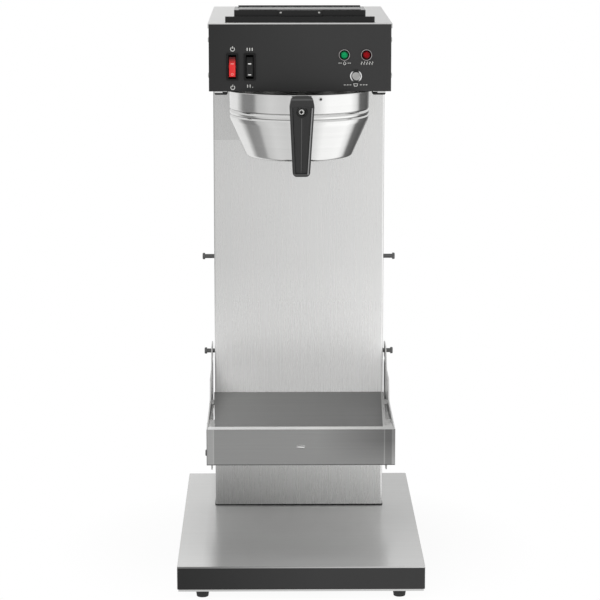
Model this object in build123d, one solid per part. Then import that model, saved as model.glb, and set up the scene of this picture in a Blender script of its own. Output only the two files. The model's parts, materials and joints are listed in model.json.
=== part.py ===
from build123d import *
import math
import os

# Airpot coffee brewer, in millimetres.
# X runs to the right of someone facing the brewer, Y runs from the front to the rear and Z is up.
# The origin lies on the floor under the middle of the bounding box.

# Overall layout
base_width = 312.4
base_depth = 462.0
base_top = 43.0
foot_height = 11.0
column_width = 228.5
column_depth = 172.5
head_overhang = 1.4
head_depth = 325.0
head_top = 714.5
head_height = 86.5
inlet_reach = 24.0

# Sheet and clearances
sheet = 1.2
seam = 0.15
gap = 0.3
slip = 0.1
bend = 2.4
head_bend = 1.8

# Base
fascia_sheet = 1.5
fascia_return = 15.0
fascia_bottom = 13.6
lip_height = 1.8
foot_inset = 17.5
foot_side_inset = 31.5
foot_top_radius = 8.8
foot_tip_radius = 7.4
stiffener_width = 40.0
stiffener_flange = 14.0
stiffener_end = 22.0

# Small fasteners
screw_radius = 2.0
screw_head_radius = 3.9
screw_head_height = 2.4
nut_radius = 4.0
nut_height = 3.2
thread_past_nut = 1.0
button_head_radius = 3.2
button_head_height = 1.0

# Column
column_flange = 18.0
rear_return = 13.0
bolt_inset = 10.0
bolt_front_inset = 30.0
louvre_length = 64.0
louvre_height = 5.0
louvre_rows = 8
louvre_pitch = 16.0
louvre_first = 180.0
louvre_offset = 46.0
cover_foot_gap = 2.0
rear_screw_low = 25.0
rear_screw_high = 30.0
rear_screw_rows = 4

# Pins that carry the shelf
pin_heights = (112.0, 256.0, 387.0)
pin_inset = 22.0
pin_radius = 2.85
pin_head_radius = 4.4
pin_head_height = 3.4
pin_reach = 14.4
top_pin_reach = 16.2
pin_tail = 7.0
pin_head_chamfer = 0.8
pin_nut_radius = 5.5

# Shelf
wing_gap = 3.15
shelf_front = 256.0
apron_bottom = 166.0
lip_top = 212.0
shelf_lip_depth = 16.6
tray_drop = 9.0
tray_front_gap = 8.9
tray_rear_gap = 1.9
tray_gap = 1.5
tray_skirt = 11.0
shelf_sheet = 1.5
wing_foot = 103.0
wing_foot_rise = 12.0
wing_foot_front = 38.0
wing_heel = 47.0
wing_shoulder = 239.0
wing_shoulder_front = 84.0
wing_shoulder_rear = 24.0
wing_step = 14.0
wing_crown = 266.0
wing_crown_start = 2.0
wing_tail = 41.5
wing_corner = 5.0
hook_lift = 14.0
hook_clearance = 0.35
drip_slot_length = 11.0
drip_slot_height = 4.2
drip_slot_below_lip = 22.0
tab_length = 24.0
tab_places = (60.0, 175.0)
rivet_radius = 2.0
rivet_head_radius = 3.9
rivet_head_height = 1.4
rivet_tail_radius = 3.3
rivet_tail_height = 1.2

# Head sheet metal
panel_sheet = 1.2
panel_return = 15.0
cover_lip = 1.6
cover_flange = 7.0
cover_rear_flange = 13.0
rear_cover_top_gap = 0.4
tongue_length = 12.0
tongue_near = 12.0
tongue_far = 28.0
panel_screw_inset = 20.0

# Brew funnel, rails and handle
funnel_forward = 99.5
funnel_turn = 0.9
funnel_offset = -0.45
funnel_wall = 1.0
funnel_radius = 90.5
rim_radius = 96.6
rim_drop = 0.8
rim_thickness = 1.2
groove_drops = (25.8, 32.8)
groove_depth = 1.1
groove_half_height = 1.4
shoulder_drop = 38.0
shoulder_radius = 89.9
shoulder_blend = 16.0
funnel_depth = 87.7
cone_radius = 68.3
bottom_blend = 7.0
spout_radius = 5.5
spout_bore = 3.0
spout_length = 6.0
vent_radius = 1.2
vent_angle = 17.3
vent_drop = 8.0
rail_inner = 92.1
rail_outer = 108.6
rail_lip_width = 6.0
rail_height = 4.6
rail_lip_thickness = 2.0
rail_front_inset = 3.0
rail_length = 139.0
rail_stop = 33.0
rail_taper = 1.2
rail_screw_front = 12.0
rail_screw_rear = 14.0
rest_height = 7.0
rest_thickness = 1.0
rest_slots = 12
rest_slot_width = 3.0
rest_slot_share = 0.5
rest_slot_place = 0.62
handle_top_width = 30.3
handle_foot_width = 21.6
handle_length = 101.6
handle_top_drop = 0.4
handle_thickness = 13.0
handle_border = 3.4
handle_recess = 2.2
handle_ridge_width = 3.0
handle_screw_drop = 20.4
handle_screw_recess = 4.8
handle_screw_sink = 1.5
handle_boss = 1.8
handle_boss_drop = 0.4
handle_root = 2.0
handle_top_corner = 7.0
handle_foot_corner = 5.5
handle_edge = 1.0

# Spray head
spray_radius = 27.0
spray_neck = 5.0
spray_hole = 1.1
spray_ring_pitch = 10.0
spray_ring_count = 2
spray_hole_count = 6
spray_plate = 2.0
spray_wall = 1.4
spray_chamfer = 0.8
spray_neck_past_cup = 8.0
spray_cup_radius = 34.0
spray_cup_height = 14.0
cup_flange = 12.0
spray_pipe_radius = 4.75
spray_pipe_bore = 3.75
spray_pipe_bend = 16.0
spray_pipe_height = 29.0

# Controls on the front panel, as heights over the head's bottom
rocker_places = (-85.8, -63.8)
rocker_height = 31.3
bezel_width = 15.0
bezel_height = 34.0
bezel_proud = 1.8
well_width = 9.9
well_height = 30.2
lever_width = 9.2
lever_height = 27.4
lever_tilt = 10.0
lever_crease = 5.0
lever_rise = 2.4
lever_shoulder = 3.4
lever_taper = 3.2
lever_waist = 1.0
lever_heel = 3.4
lever_heel_half = 3.6
pivot_depth = 4.3
trunnion_radius = 1.5
trunnion_length = 1.3
switch_width = 13.4
switch_height = 32.4
switch_depth = 24.0
switch_back = 2.0
blade_length = 8.0
blade_width = 6.2
blade_thickness = 0.8
switch_blade_offset = 8.0
bezel_corner = 1.2
lamp_places = (56.0, 84.1)
lamp_height = 46.1
lamp_bezel_radius = 7.1
lens_radius = 4.8
barrel_radius = 6.0
barrel_length = 16.0
collar_proud = 2.2
lens_proud = 2.4
lens_chamfer = 1.44
lens_tail = 6.0
lamp_blade_offset = 2.0
lamp_blade_width = 2.8
collar_chamfer = 0.8
button_place = 70.8
button_height = 19.4
ring_radius = 7.85
cap_radius = 5.25
cap_proud = 4.2
cap_thickness = 7.0
button_travel = 2.5
ring_chamfer = 0.9
cap_chamfer = 0.6
guide_thickness = 2.0
stem_radius = 2.0
stem_past_guide = 1.0
spring_radius = 4.2
spring_wire = 0.9
panel_nut_radius = 8.4
panel_nut_height = 3.0

# Fill opening on the head
guard_width = 189.8
guard_height = 7.0
guard_depth = 10.5
guard_inset = 11.5
guard_wall = 2.0
guard_corner = 3.0
guard_edge = 0.6
guard_cells = 6
lid_width = 167.4
lid_front_inset = 23.6
lid_depth = 71.6
lid_height = 14.7
lid_plate = 2.0
lid_skirt = 1.8
lid_skirt_gap = 2.9
lid_panel_inset = 6.0
lid_panel_rise = 0.5
lid_rib_width = 158.0
lid_rib_height = 1.8
lid_rib_depth = 2.5
lid_edge = 0.6
lid_overhang = 1.0
collar_gap = 0.7
collar_wall = 2.0
collar_height = 11.0
collar_corner = 3.0
flange_reach = 1.2
basin_spout_inset = 16.0
basin_flange = 2.0
basin_depth = 32.0
basin_taper = 9.0
basin_spout_offset = -35.0
basin_spout_radius = 8.0
basin_spout_bore = 6.0
basin_spout_length = 9.0
hinge_drop = 6.4
hinge_pin_radius = 1.5
hinge_fit = 0.05
knuckle_radius = 3.2
ear_radius = 3.6
ear_width = 6.0
hinge_pin_past_ear = 1.0
ear_offset = 65.0
grip_width = 56.6
grip_height = 7.4
grip_depth = 3.6
grip_screw_offset = 24.4
grip_screw_radius = 0.8
grip_screw_drop = 3.2
grip_screw_head = 1.3
grip_screw_head_height = 0.9
grip_rise = 0.2
grip_corner = 1.2
grip_wall = 1.2
grip_top_wall = 2.0
grip_end_wall = 4.0
strainer_thickness = 1.0
strainer_slot = 3.0
strainer_slots = 14
strainer_edge = 6.0
strainer_height = 8.0

# Tank and what feeds it
tank_width = 170.0
tank_depth = 134.0
tank_front_gap = 19.0
tank_drop = 46.5
tank_height = 168.0
tank_corner = 12.0
tank_flange = 8.0
tank_screw_xs = (-50.0, 50.0)
tank_screw_ys = (-40.0, 40.0)
tank_inlet_radius = 6.1
gasket_thickness = 2.8
tank_lid_thickness = 2.0
element_radius = 4.0
element_spread = 46.0
element_depth = 150.0
element_stub = 14.0
element_bend = 18.4
element_nut_radius = 8.8
element_nut_height = 5.0
probe_radius = 2.0
probe_length = 30.0
probe_inset = 26.0
probe_cap_radius = 6.0
probe_cap_height = 12.0
thermostat_radius = 8.5
thermostat_height = 10.0
thermostat_rise = 90.0
thermostat_blade_offset = 4.0
bracket_thickness = 2.0
bracket_width = 44.0
bracket_leg = 36.0
bracket_seat = 42.0
hose_radius = 8.0
hose_bore = 6.1
hose_bend = 18.0
hose_inlet_drop = 66.5
stub_length = 10.0
stub_wall = 1.2
valve_place = 52.0
valve_height = 100.0
valve_width = 34.0
valve_length = 40.0
valve_block_height = 22.0
valve_corner = 3.0
valve_outlet_inset = 8.0
valve_outlet_height = 8.0
valve_outlet_wall = 2.0
coil_radius = 14.0
coil_height = 34.0
valve_tube_radius = 4.0
valve_tube_bore = 3.0
inlet_radius = 9.0
inlet_neck_radius = 9.8
inlet_relief_width = 1.5
inlet_relief_radius = 8.2
inlet_bore = 5.0
inlet_flange_radius = 15.0
inlet_flange_height = 4.0
inlet_chamfer = 1.0
rear_nut_height = 5.0
gland_place = -58.0
gland_height = 82.0
gland_radius = 8.0
gland_bore = 5.0
gland_flange_radius = 12.5
gland_reach = 14.0
gland_tail = 12.0
gland_chamfer = 1.6
block_width = 58.0
block_height = 20.0
block_depth = 14.0
block_level = 118.0
block_wells = 4
block_well_radius = 2.6
block_well_depth = 6.0
board_width = 46.0
board_length = 84.0
board_thickness = 1.6
board_stand = 6.0
board_side = 13.2
board_front = 51.0
standoff_radius = 3.0
board_post_inset = 3.5
board_parts = (
    ((6.0, 22.0), (8.0, 26.0), 15.0),
    ((6.0, 22.0), (30.0, 48.0), 15.0),
    ((6.0, 38.0), (54.0, 78.0), 22.0),
    ((28.0, 38.0), (8.0, 48.0), 8.0),
)

# Heights and places worked out from the sizes above
front_y = -(base_depth + inlet_reach) / 2
rear_y = front_y + base_depth
column_front_y = rear_y - column_depth
head_front_y = rear_y - head_depth
shelf_front_y = column_front_y - shelf_front
funnel_y = column_front_y - funnel_forward
pin_y = column_front_y + pin_inset
base_half = base_width / 2
head_bottom = head_top - head_height
tank_top = head_top - tank_drop
tank_bottom = tank_top - tank_height
hose_inlet_height = head_top - hose_inlet_drop
head_width = column_width + 2 * head_overhang
shelf_width = column_width + 2 * (wing_gap + shelf_sheet)
tray_front_width = shelf_width - 2 * (shelf_sheet + tray_front_gap)
tray_rear_width = shelf_width - 2 * (shelf_sheet + tray_rear_gap)
column_half = column_width / 2
head_half = head_width / 2
foot_x = base_half - foot_side_inset
foot_ys = (front_y + foot_inset, rear_y - foot_inset)
rear_inner_y = rear_y - sheet - seam
rim_top = head_bottom - rim_drop
funnel_bottom = rim_top - funnel_depth
funnel_at = Pos(funnel_offset, funnel_y, 0) * Rot(0, 0, funnel_turn)
cover_bottom = head_top - sheet
panel_top = head_top - cover_lip - seam
lid_front_y = head_front_y + lid_front_inset
lid_rear_y = lid_front_y + lid_depth
lid_top = head_top + lid_height
hinge_y = lid_rear_y - lid_overhang
hinge_z = lid_top - hinge_drop
tray_top = lip_top - tray_drop
tank_front_y = column_front_y + tank_front_gap
tank_rear_y = tank_front_y + tank_depth
tank_mid_y = (tank_front_y + tank_rear_y) / 2
tank_lid_bottom = tank_top + gasket_thickness + 2 * seam
spray_neck_top = head_bottom + sheet + seam + spray_cup_height + spray_neck_past_cup


def block(x, y, z):
    """A box between three pairs of limits."""
    size = (x[1] - x[0], y[1] - y[0], z[1] - z[0])
    middle = ((x[0] + x[1]) / 2, (y[0] + y[1]) / 2, (z[0] + z[1]) / 2)
    return Pos(*middle) * Box(*size)


def rod_x(radius, x, y, z):
    """A round bar along X between two limits."""
    return Pos((x[0] + x[1]) / 2, y, z) * Rot(0, 90, 0) * Cylinder(radius, x[1] - x[0])


def rod_y(radius, x, y, z):
    """A round bar along Y between two limits."""
    return Pos(x, (y[0] + y[1]) / 2, z) * Rot(90, 0, 0) * Cylinder(radius, y[1] - y[0])


def rod_z(radius, x, y, z):
    """A round bar along Z between two limits."""
    return Pos(x, y, (z[0] + z[1]) / 2) * Cylinder(radius, z[1] - z[0])


def hex_z(radius, x, y, z):
    """A hexagonal bar along Z between two limits."""
    return extrude(Pos(x, y, z[0]) * RegularPolygon(radius, 6), z[1] - z[0])


def turned(points):
    """A solid turned round Z from radius and height pairs."""
    return revolve(make_face(Plane.XZ * Polyline(*points, close=True)), Axis.Z)


def side_plate(points, x):
    """A plate cut to an outline in Y and Z, between two limits in X."""
    outline = Plane.YZ.offset(x[0]) * make_face(Polyline(*points, close=True))
    return extrude(outline, x[1] - x[0])


def mirrored_pair(right):
    """A solid and its mirror image across the middle plane, as separate solids."""
    return Compound(children=[right, mirror(right, about=Plane.YZ)])


def group(solids):
    """Separate solids kept together in one node."""
    return Compound(children=list(solids))


def pan_screw(length, head=screw_head_radius, height=screw_head_height, shank=screw_radius):
    """A pan head screw along Z whose head stands on the plane z = 0 and whose shank points down."""
    return rod_z(head, 0, 0, (0, height)) + rod_z(shank, 0, 0, (-length, height / 2))


def write(name, shape):
    """Write one node."""
    export_step(shape, f"parts/{name}.step")


# Base

def base_pan():
    """Stainless top plate with side and rear walls, cut back at the front for the fascia."""
    body = block((-base_half, base_half), (front_y, rear_y), (foot_height, base_top))
    body = fillet(body.edges().filter_by(Axis.Z), bend)
    inside = block(
        (-base_half + sheet, base_half - sheet),
        (front_y + sheet, rear_y - sheet),
        (foot_height - sheet, base_top - sheet),
    )
    inside = fillet(inside.edges().filter_by(Axis.Z), bend - sheet)
    room = block(
        (-base_half - sheet, base_half + sheet),
        (front_y - sheet, front_y + fascia_return + seam),
        (foot_height - sheet, base_top - lip_height),
    )
    shell = body - inside - room
    for x in bolt_xs():
        for y in bolt_ys():
            shell -= rod_z(screw_radius + slip, x, y, (base_top - 2 * sheet, base_top + sheet))
    return shell


def base_fascia():
    """Black front strip whose ends turn back along the sides of the base."""
    top = base_top - lip_height - seam
    body = block((-base_half, base_half), (front_y, front_y + fascia_return), (fascia_bottom, top))
    front_edges = body.edges().filter_by(Axis.Z).sort_by(Axis.Y)[:2]
    body = fillet(front_edges, bend)
    room = block(
        (-base_half + fascia_sheet, base_half - fascia_sheet),
        (front_y + fascia_sheet, front_y + fascia_return + sheet),
        (fascia_bottom - sheet, top + sheet),
    )
    return body - room


def base_floor():
    """Bottom plate inside the base, with a turned-up front edge under the fascia."""
    half = base_half - sheet - seam
    plate = block((-half, half), (front_y, rear_y - sheet - seam), (foot_height, foot_height + sheet))
    edge = block((-half, half), (front_y, front_y + sheet), (foot_height, fascia_bottom - seam))
    floor = plate + edge
    uprights = floor.edges().filter_by(Axis.Z)
    floor = fillet(uprights.group_by(Axis.Y)[0] + uprights.group_by(Axis.Y)[-1], sheet - seam)
    for x in (-foot_x, foot_x):
        for y in foot_ys:
            floor -= rod_z(screw_radius + slip, x, y, (foot_height - sheet, foot_height + 2 * sheet))
    return floor


def base_stiffeners():
    """Two hat channels under the top plate, which carry the column's bolts."""
    low = foot_height + sheet + seam
    high = base_top - sheet - seam
    half = stiffener_width / 2
    middle = bolt_xs()[1]
    y = (front_y + stiffener_end, rear_y - stiffener_end)
    hat = block((middle - half, middle + half), y, (low, high))
    hat -= block((middle - half + sheet, middle + half - sheet), y, (low - sheet, high - sheet))
    hat += block((middle - half - stiffener_flange, middle - half + sheet), y, (low, low + sheet))
    hat += block((middle + half - sheet, middle + half + stiffener_flange), y, (low, low + sheet))
    for bolt_y in bolt_ys():
        hat -= rod_z(screw_radius + slip, middle, bolt_y, (high - 2 * sheet, high + sheet))
    return mirrored_pair(hat)


def base_feet():
    """Four tapered rubber feet, each with a recess for its screw."""
    recess = foot_height / 2
    head_room = screw_head_radius + gap
    points = (
        (screw_radius + slip, recess),
        (head_room, recess),
        (head_room, 0),
        (foot_tip_radius - 1, 0),
        (foot_tip_radius, 1),
        (foot_top_radius, foot_height - seam),
        (screw_radius + slip, foot_height - seam),
    )
    foot = turned(points)
    return group(Pos(x, y, 0) * foot for x in (-foot_x, foot_x) for y in foot_ys)


# Column

def bolt_xs():
    """Places across the brewer of the bolts that hold the column down."""
    x = column_half - bolt_inset
    return (-x, x)


def bolt_ys():
    """Places along the brewer of the bolts that hold the column down."""
    return (column_front_y + bolt_front_inset, rear_y - bolt_front_inset)


def column_shell():
    """Bent sheet that wraps the front and both sides of the column, with flanges for its bolts."""
    low = base_top + seam
    high = head_bottom - seam
    body = block((-column_half, column_half), (column_front_y, rear_inner_y), (low, high))
    body = fillet(body.edges().filter_by(Axis.Z).sort_by(Axis.Y)[:2], bend)
    inside = block(
        (-column_half + sheet, column_half - sheet),
        (column_front_y + sheet, rear_inner_y - sheet),
        (low + sheet, high - sheet),
    )
    inside = fillet(inside.edges().filter_by(Axis.Z).sort_by(Axis.Y)[:2], bend - sheet)
    well = block(
        (-column_half + column_flange, column_half - column_flange),
        (column_front_y + column_flange, rear_inner_y + sheet),
        (low - sheet, high + sheet),
    )
    doorway = block(
        (-column_half + rear_return, column_half - rear_return),
        (rear_inner_y - 2 * sheet, rear_inner_y + sheet),
        (low + sheet, high - sheet),
    )
    shell = body - inside - well - doorway
    for z in pin_heights:
        shell -= rod_x(pin_radius + slip, (-column_half - sheet, column_half + sheet), pin_y, z)
    for x in bolt_xs():
        for y in bolt_ys():
            shell -= rod_z(screw_radius + slip, x, y, (low - sheet, low + 2 * sheet))
            shell -= rod_z(screw_radius + slip, x, y, (high - 2 * sheet, high + sheet))
    for x, z in rear_screw_places():
        shell -= rod_y(screw_radius + slip / 2, x, (rear_inner_y - 2 * sheet, rear_inner_y + sheet), z)
    return shell


def frame_screws():
    """Pan head screws of the feet, of both ends of the column and of the funnel rails."""
    stack = 2 * sheet + 3 * seam + nut_height + thread_past_nut
    into_floor = Rot(180, 0, 0) * pan_screw(foot_height / 2 + sheet + nut_height + thread_past_nut)
    down = pan_screw(sheet + stack)
    up = Rot(180, 0, 0) * pan_screw(stack)
    into_head = Rot(180, 0, 0) * pan_screw(rail_height - screw_head_height + 2 * sheet)
    low = base_top + 2 * seam + sheet
    high = head_bottom - 2 * seam - sheet
    rail_seat = head_bottom - rail_height + screw_head_height
    screws = [Pos(x, y, foot_height / 2 - seam) * into_floor for x in (-foot_x, foot_x) for y in foot_ys]
    screws += [Pos(x, y, low) * down for x in bolt_xs() for y in bolt_ys()]
    screws += [Pos(x, y, high) * up for x in bolt_xs() for y in bolt_ys()]
    screws += [Pos(x, y, rail_seat) * into_head for x, y in rail_screw_places()]
    return group(screws)


def frame_nuts():
    """Nuts on the foot screws over the base floor, and on the column's bolts at both its ends."""
    floor = foot_height + sheet + seam
    under = base_top - 2 * sheet - 2 * seam - nut_height
    over = head_bottom + sheet + seam
    places = [(x, y, floor) for x in (-foot_x, foot_x) for y in foot_ys]
    places += [(x, y, z) for x in bolt_xs() for y in bolt_ys() for z in (under, over)]
    nuts = []
    for x, y, z in places:
        nut = hex_z(nut_radius, x, y, (z, z + nut_height))
        nuts.append(nut - rod_z(screw_radius + slip / 2, x, y, (z - 1, z + nut_height + 1)))
    return group(nuts)


def rear_screw_places():
    """Where the rear cover is screwed to the returns of the column and the head."""
    x = column_half - rear_return / 2
    low = base_top + rear_screw_low
    high = head_bottom - rear_screw_high
    step = (high - low) / (rear_screw_rows - 1)
    return [(side * x, low + step * i) for side in (-1, 1) for i in range(rear_screw_rows)]


def rear_cover():
    """Flat rear plate with two columns of louvre slots and the holes for water and mains."""
    half = column_half - seam
    top = head_top - cover_rear_flange - rear_cover_top_gap
    plate = block((-half, half), (rear_y - sheet, rear_y), (base_top + cover_foot_gap, top))
    slot = extrude(Plane.XZ * SlotOverall(louvre_length, louvre_height), 2 * sheet, both=True)
    for side in (-1, 1):
        for row in range(louvre_rows):
            plate -= Pos(side * louvre_offset, rear_y, louvre_first + row * louvre_pitch) * slot
    through = (rear_y - 2 * sheet, rear_y + sheet)
    plate -= rod_y(inlet_neck_radius + slip, valve_place, through, valve_height)
    plate -= rod_y(gland_radius + slip, gland_place, through, gland_height)
    for x, z in rear_screw_places():
        plate -= rod_y(screw_radius + slip, x, through, z)
    return plate


def rear_screws():
    """Screws that hold the rear cover and the rear edge of the top cover."""
    length = 2 * sheet + seam + thread_past_nut + nut_height
    screw = Rot(-90, 0, 0) * pan_screw(length)
    places = rear_screw_places() + top_screw_places()
    return group(Pos(x, rear_y + seam, z) * screw for x, z in places)


def pin_reaches():
    """Height and reach of each pair of pins."""
    return zip(pin_heights, (pin_reach, pin_reach, top_pin_reach))


def shelf_pins():
    """Headed pins on both sides of the column, which the shelf hangs on."""
    pins = []
    for z, reach in pin_reaches():
        tip = column_half + reach
        shaft = (column_half - sheet - pin_tail, tip - pin_head_height)
        pin = rod_x(pin_radius, shaft, pin_y, z)
        head = rod_x(pin_head_radius, (tip - pin_head_height, tip), pin_y, z)
        head = chamfer(head.edges().filter_by(GeomType.CIRCLE).sort_by(Axis.X)[-1], pin_head_chamfer)
        pins += [pin + head, mirror(pin + head, about=Plane.YZ)]
    return group(pins)


def pin_nuts():
    """Nuts that clamp the pins to the inside of the column wall."""
    inner = column_half - sheet - seam
    nuts = []
    for z in pin_heights:
        blank = extrude(RegularPolygon(pin_nut_radius, 6), nut_height)
        blank = Pos(inner - nut_height, pin_y, z) * Rot(0, 90, 0) * blank
        nut = blank - rod_x(pin_radius + slip / 2, (inner - 2 * nut_height, inner + nut_height), pin_y, z)
        nuts += [nut, mirror(nut, about=Plane.YZ)]
    return group(nuts)


# Shelf

def wing_outline():
    """Outline of a shelf wing in Y and Z: low at the apron, stepped up to the hooks at the rear."""
    tail = column_front_y + wing_tail
    return (
        (shelf_front_y, apron_bottom),
        (shelf_front_y, lip_top),
        (column_front_y - wing_shoulder_front - wing_step, lip_top),
        (column_front_y - wing_shoulder_front, wing_shoulder),
        (column_front_y - wing_shoulder_rear, wing_shoulder),
        (column_front_y + wing_crown_start, wing_crown),
        (tail, wing_crown),
        (tail, wing_foot),
        (column_front_y - wing_foot_front, wing_foot),
        (column_front_y - wing_heel, wing_foot + wing_foot_rise),
    )


def hook_slot(z):
    """Room for a pin: a seat, a run straight down from it and a way out to the rear."""
    half = pin_radius + hook_clearance
    x = (column_half - sheet, shelf_width / 2 + sheet)
    tail = column_front_y + wing_tail + sheet
    run = block(x, (pin_y - half, pin_y + half), (z - hook_lift, z))
    exit_way = block(x, (pin_y, tail), (z - hook_lift - half, z - hook_lift + half))
    seat = rod_x(half, x, pin_y, z)
    turn = rod_x(half, x, pin_y, z - hook_lift)
    return run + exit_way + seat + turn


def shelf_bracket():
    """Bent sheet: an apron across the front and a wing along each side, with hooks for the pins."""
    half = shelf_width / 2
    wing = side_plate(wing_outline(), (half - shelf_sheet, half))
    corners = wing.edges().filter_by(Axis.X).sort_by(Axis.Y)
    wing = fillet(corners[2:], wing_corner)
    for z in pin_heights[:2]:
        wing -= hook_slot(z)
    for place in tab_places:
        wing -= rod_x(rivet_radius + slip, (half - 2 * shelf_sheet, half + shelf_sheet), *rivet_seat(place))
    apron = block(
        (-half, half), (shelf_front_y, shelf_front_y + shelf_sheet), (apron_bottom, lip_top)
    )
    slot = extrude(Plane.XZ * SlotOverall(drip_slot_length, drip_slot_height), 2 * shelf_sheet, both=True)
    apron -= Pos(0, shelf_front_y, lip_top - drip_slot_below_lip) * slot
    body = apron + wing + mirror(wing, about=Plane.YZ)
    front_edges = body.edges().filter_by(Axis.Z).group_by(Axis.Y)[0]
    return fillet(front_edges, shelf_sheet - seam)


def rivet_seat(place):
    """Centre in Y and Z of the rivet through a tray tab, at a distance in front of the column."""
    return (column_front_y - place, tray_top - tray_skirt / 2)


def tray_side(y):
    """Half width of the tray's floor, which widens from the lip to the column."""
    front = shelf_front_y + shelf_lip_depth
    rear = column_front_y - tray_gap
    share = (y - front) / (rear - front)
    return (tray_front_width + (tray_rear_width - tray_front_width) * share) / 2


def tray_plan(y, inner, outer, z):
    """A flat piece of the tray between two distances from its slanted side edge."""
    points = (
        (tray_side(y[0]) - inner, y[0]),
        (tray_side(y[0]) + outer, y[0]),
        (tray_side(y[1]) + outer, y[1]),
        (tray_side(y[1]) - inner, y[1]),
    )
    return extrude(Pos(0, 0, z[0]) * make_face(Polyline(*points, close=True)), z[1] - z[0])


def shelf_tray():
    """Tray that the airpot stands on, with a raised front lip, side skirts and tabs to the wings."""
    reach = shelf_width / 2 - shelf_sheet - seam
    inner = shelf_front_y + shelf_sheet + seam
    rear = column_front_y - tray_gap
    lip_rear = shelf_front_y + shelf_lip_depth
    t = shelf_sheet
    floor = (tray_top - t, tray_top)
    skirt = (tray_top - tray_skirt, tray_top)
    half = tray_side(lip_rear) - t
    tray = block((-reach, reach), (inner, lip_rear), (lip_top - t, lip_top))
    tray += block((-reach, reach), (inner, inner + t), (tray_top - t, lip_top))
    tray += block((-half - t, half + t), (lip_rear - t, lip_rear), (tray_top - t, lip_top))
    tray += block((-half, half), (lip_rear - t, rear), floor)
    run = (lip_rear - t, rear)
    edge = tray_plan(run, 2 * t, 0, skirt)
    edge -= tray_plan((lip_rear - 2 * t, rear + t), 3 * t, -t, (0, floor[0]))
    edge += tray_plan(run, tray_rear_width - tray_front_width, 0, floor)
    for place in tab_places:
        y, z = rivet_seat(place)
        span = (y - tab_length / 2, y + tab_length / 2)
        edge += block((tray_side(span[0]) - 2 * t, reach), span, floor)
        edge += block((reach - t, reach), span, skirt)
        edge -= rod_x(rivet_radius + slip, (reach - 2 * t, reach + t), y, z)
    return tray + edge + mirror(edge, about=Plane.YZ)


def shelf_rivets():
    """Rivets that join the tray's tabs to the wings."""
    outer = shelf_width / 2 + seam
    inner = shelf_width / 2 - 2 * shelf_sheet - 2 * seam
    rivets = []
    for place in tab_places:
        y, z = rivet_seat(place)
        shank = rod_x(rivet_radius, (inner - rivet_tail_height, outer), y, z)
        dome = rod_x(rivet_head_radius, (outer, outer + rivet_head_height), y, z)
        tail = rod_x(rivet_tail_radius, (inner - rivet_tail_height, inner), y, z)
        rivet = shank + dome + tail
        rivets += [rivet, mirror(rivet, about=Plane.YZ)]
    return group(rivets)


# Head

def front_panel():
    """Black control panel: a shallow tray with its edges turned back into the head."""
    depth = (head_front_y, head_front_y + panel_return)
    body = block((-head_half, head_half), depth, (head_bottom, panel_top))
    body = fillet(body.edges().filter_by(Axis.Z).sort_by(Axis.Y)[:2], head_bend)
    room = block(
        (-head_half + panel_sheet, head_half - panel_sheet),
        (head_front_y + panel_sheet, head_front_y + panel_return + sheet),
        (head_bottom + panel_sheet, panel_top - panel_sheet),
    )
    panel = body - room
    through = (head_front_y - sheet, head_front_y + 2 * panel_sheet)
    for x in rocker_places:
        z = head_bottom + rocker_height
        w = switch_width / 2 + slip
        h = switch_height / 2 + slip
        panel -= block((x - w, x + w), through, (z - h, z + h))
    for x in lamp_places:
        panel -= rod_y(barrel_radius + slip, x, through, head_bottom + lamp_height)
    panel -= rod_y(barrel_radius + slip, button_place, through, head_bottom + button_height)
    for z in panel_screw_heights():
        panel -= rod_x(screw_radius + slip, (-head_half - sheet, head_half + sheet), panel_screw_y(), z)
    return panel


def panel_screw_heights():
    """Heights of the screws through the panel's side returns."""
    return (head_bottom + panel_screw_inset, panel_top - panel_screw_inset)


def panel_screw_y():
    """Depth of the screws through the panel's side returns."""
    return head_front_y + panel_return / 2


def head_frame():
    """Floor and side walls of the head, with inner tongues that the front panel is screwed to."""
    front = head_front_y + panel_return + seam
    top = cover_bottom - seam
    body = block((-head_half, head_half), (front, rear_inner_y), (head_bottom, top))
    body = fillet(body.edges().filter_by(Axis.Y).sort_by(Axis.Z)[:2], bend)
    inside = block(
        (-head_half + sheet, head_half - sheet),
        (front - sheet, rear_inner_y - sheet),
        (head_bottom + sheet, top + sheet),
    )
    inside = fillet(inside.edges().filter_by(Axis.Y).sort_by(Axis.Z)[:2], bend - sheet)
    doorway = block(
        (-head_half + rear_return, head_half - rear_return),
        (rear_inner_y - 2 * sheet, rear_inner_y + sheet),
        (head_bottom - sheet, top + sheet),
    )
    passage = block(
        (-column_half + column_flange, column_half - column_flange),
        (column_front_y + column_flange, rear_inner_y + sheet),
        (head_bottom - sheet, head_bottom + 2 * sheet),
    )
    frame = body - inside - doorway - passage
    outer = head_half - panel_sheet - seam
    joint_y = front + tongue_length
    start = head_front_y + panel_sheet + seam
    lower = (head_bottom + tongue_near, head_bottom + tongue_far)
    upper = (panel_top - tongue_far, panel_top - tongue_near)
    for z in (lower, upper):
        tongue = block((outer - sheet, outer), (start, joint_y), z)
        tongue += block((outer - sheet, head_half - sheet), (front, joint_y), z)
        frame += tongue
        frame += mirror(tongue, about=Plane.YZ)
    for z in panel_screw_heights():
        frame -= rod_x(screw_radius + slip / 2, (-head_half - sheet, head_half + sheet), panel_screw_y(), z)
    frame -= rod_z(spray_cup_radius - gap, 0, funnel_y, (head_bottom - sheet, head_bottom + 2 * sheet))
    for x in bolt_xs():
        for y in bolt_ys():
            frame -= rod_z(screw_radius + slip, x, y, (head_bottom - sheet, head_bottom + 2 * sheet))
    for x, y in rail_screw_places():
        frame -= rod_z(screw_radius + slip, x, y, (head_bottom - sheet, head_bottom + 2 * sheet))
    for x, z in top_screw_places():
        frame -= rod_y(screw_radius + slip / 2, x, (rear_inner_y - 2 * sheet, rear_inner_y + sheet), z)
    return frame


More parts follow.
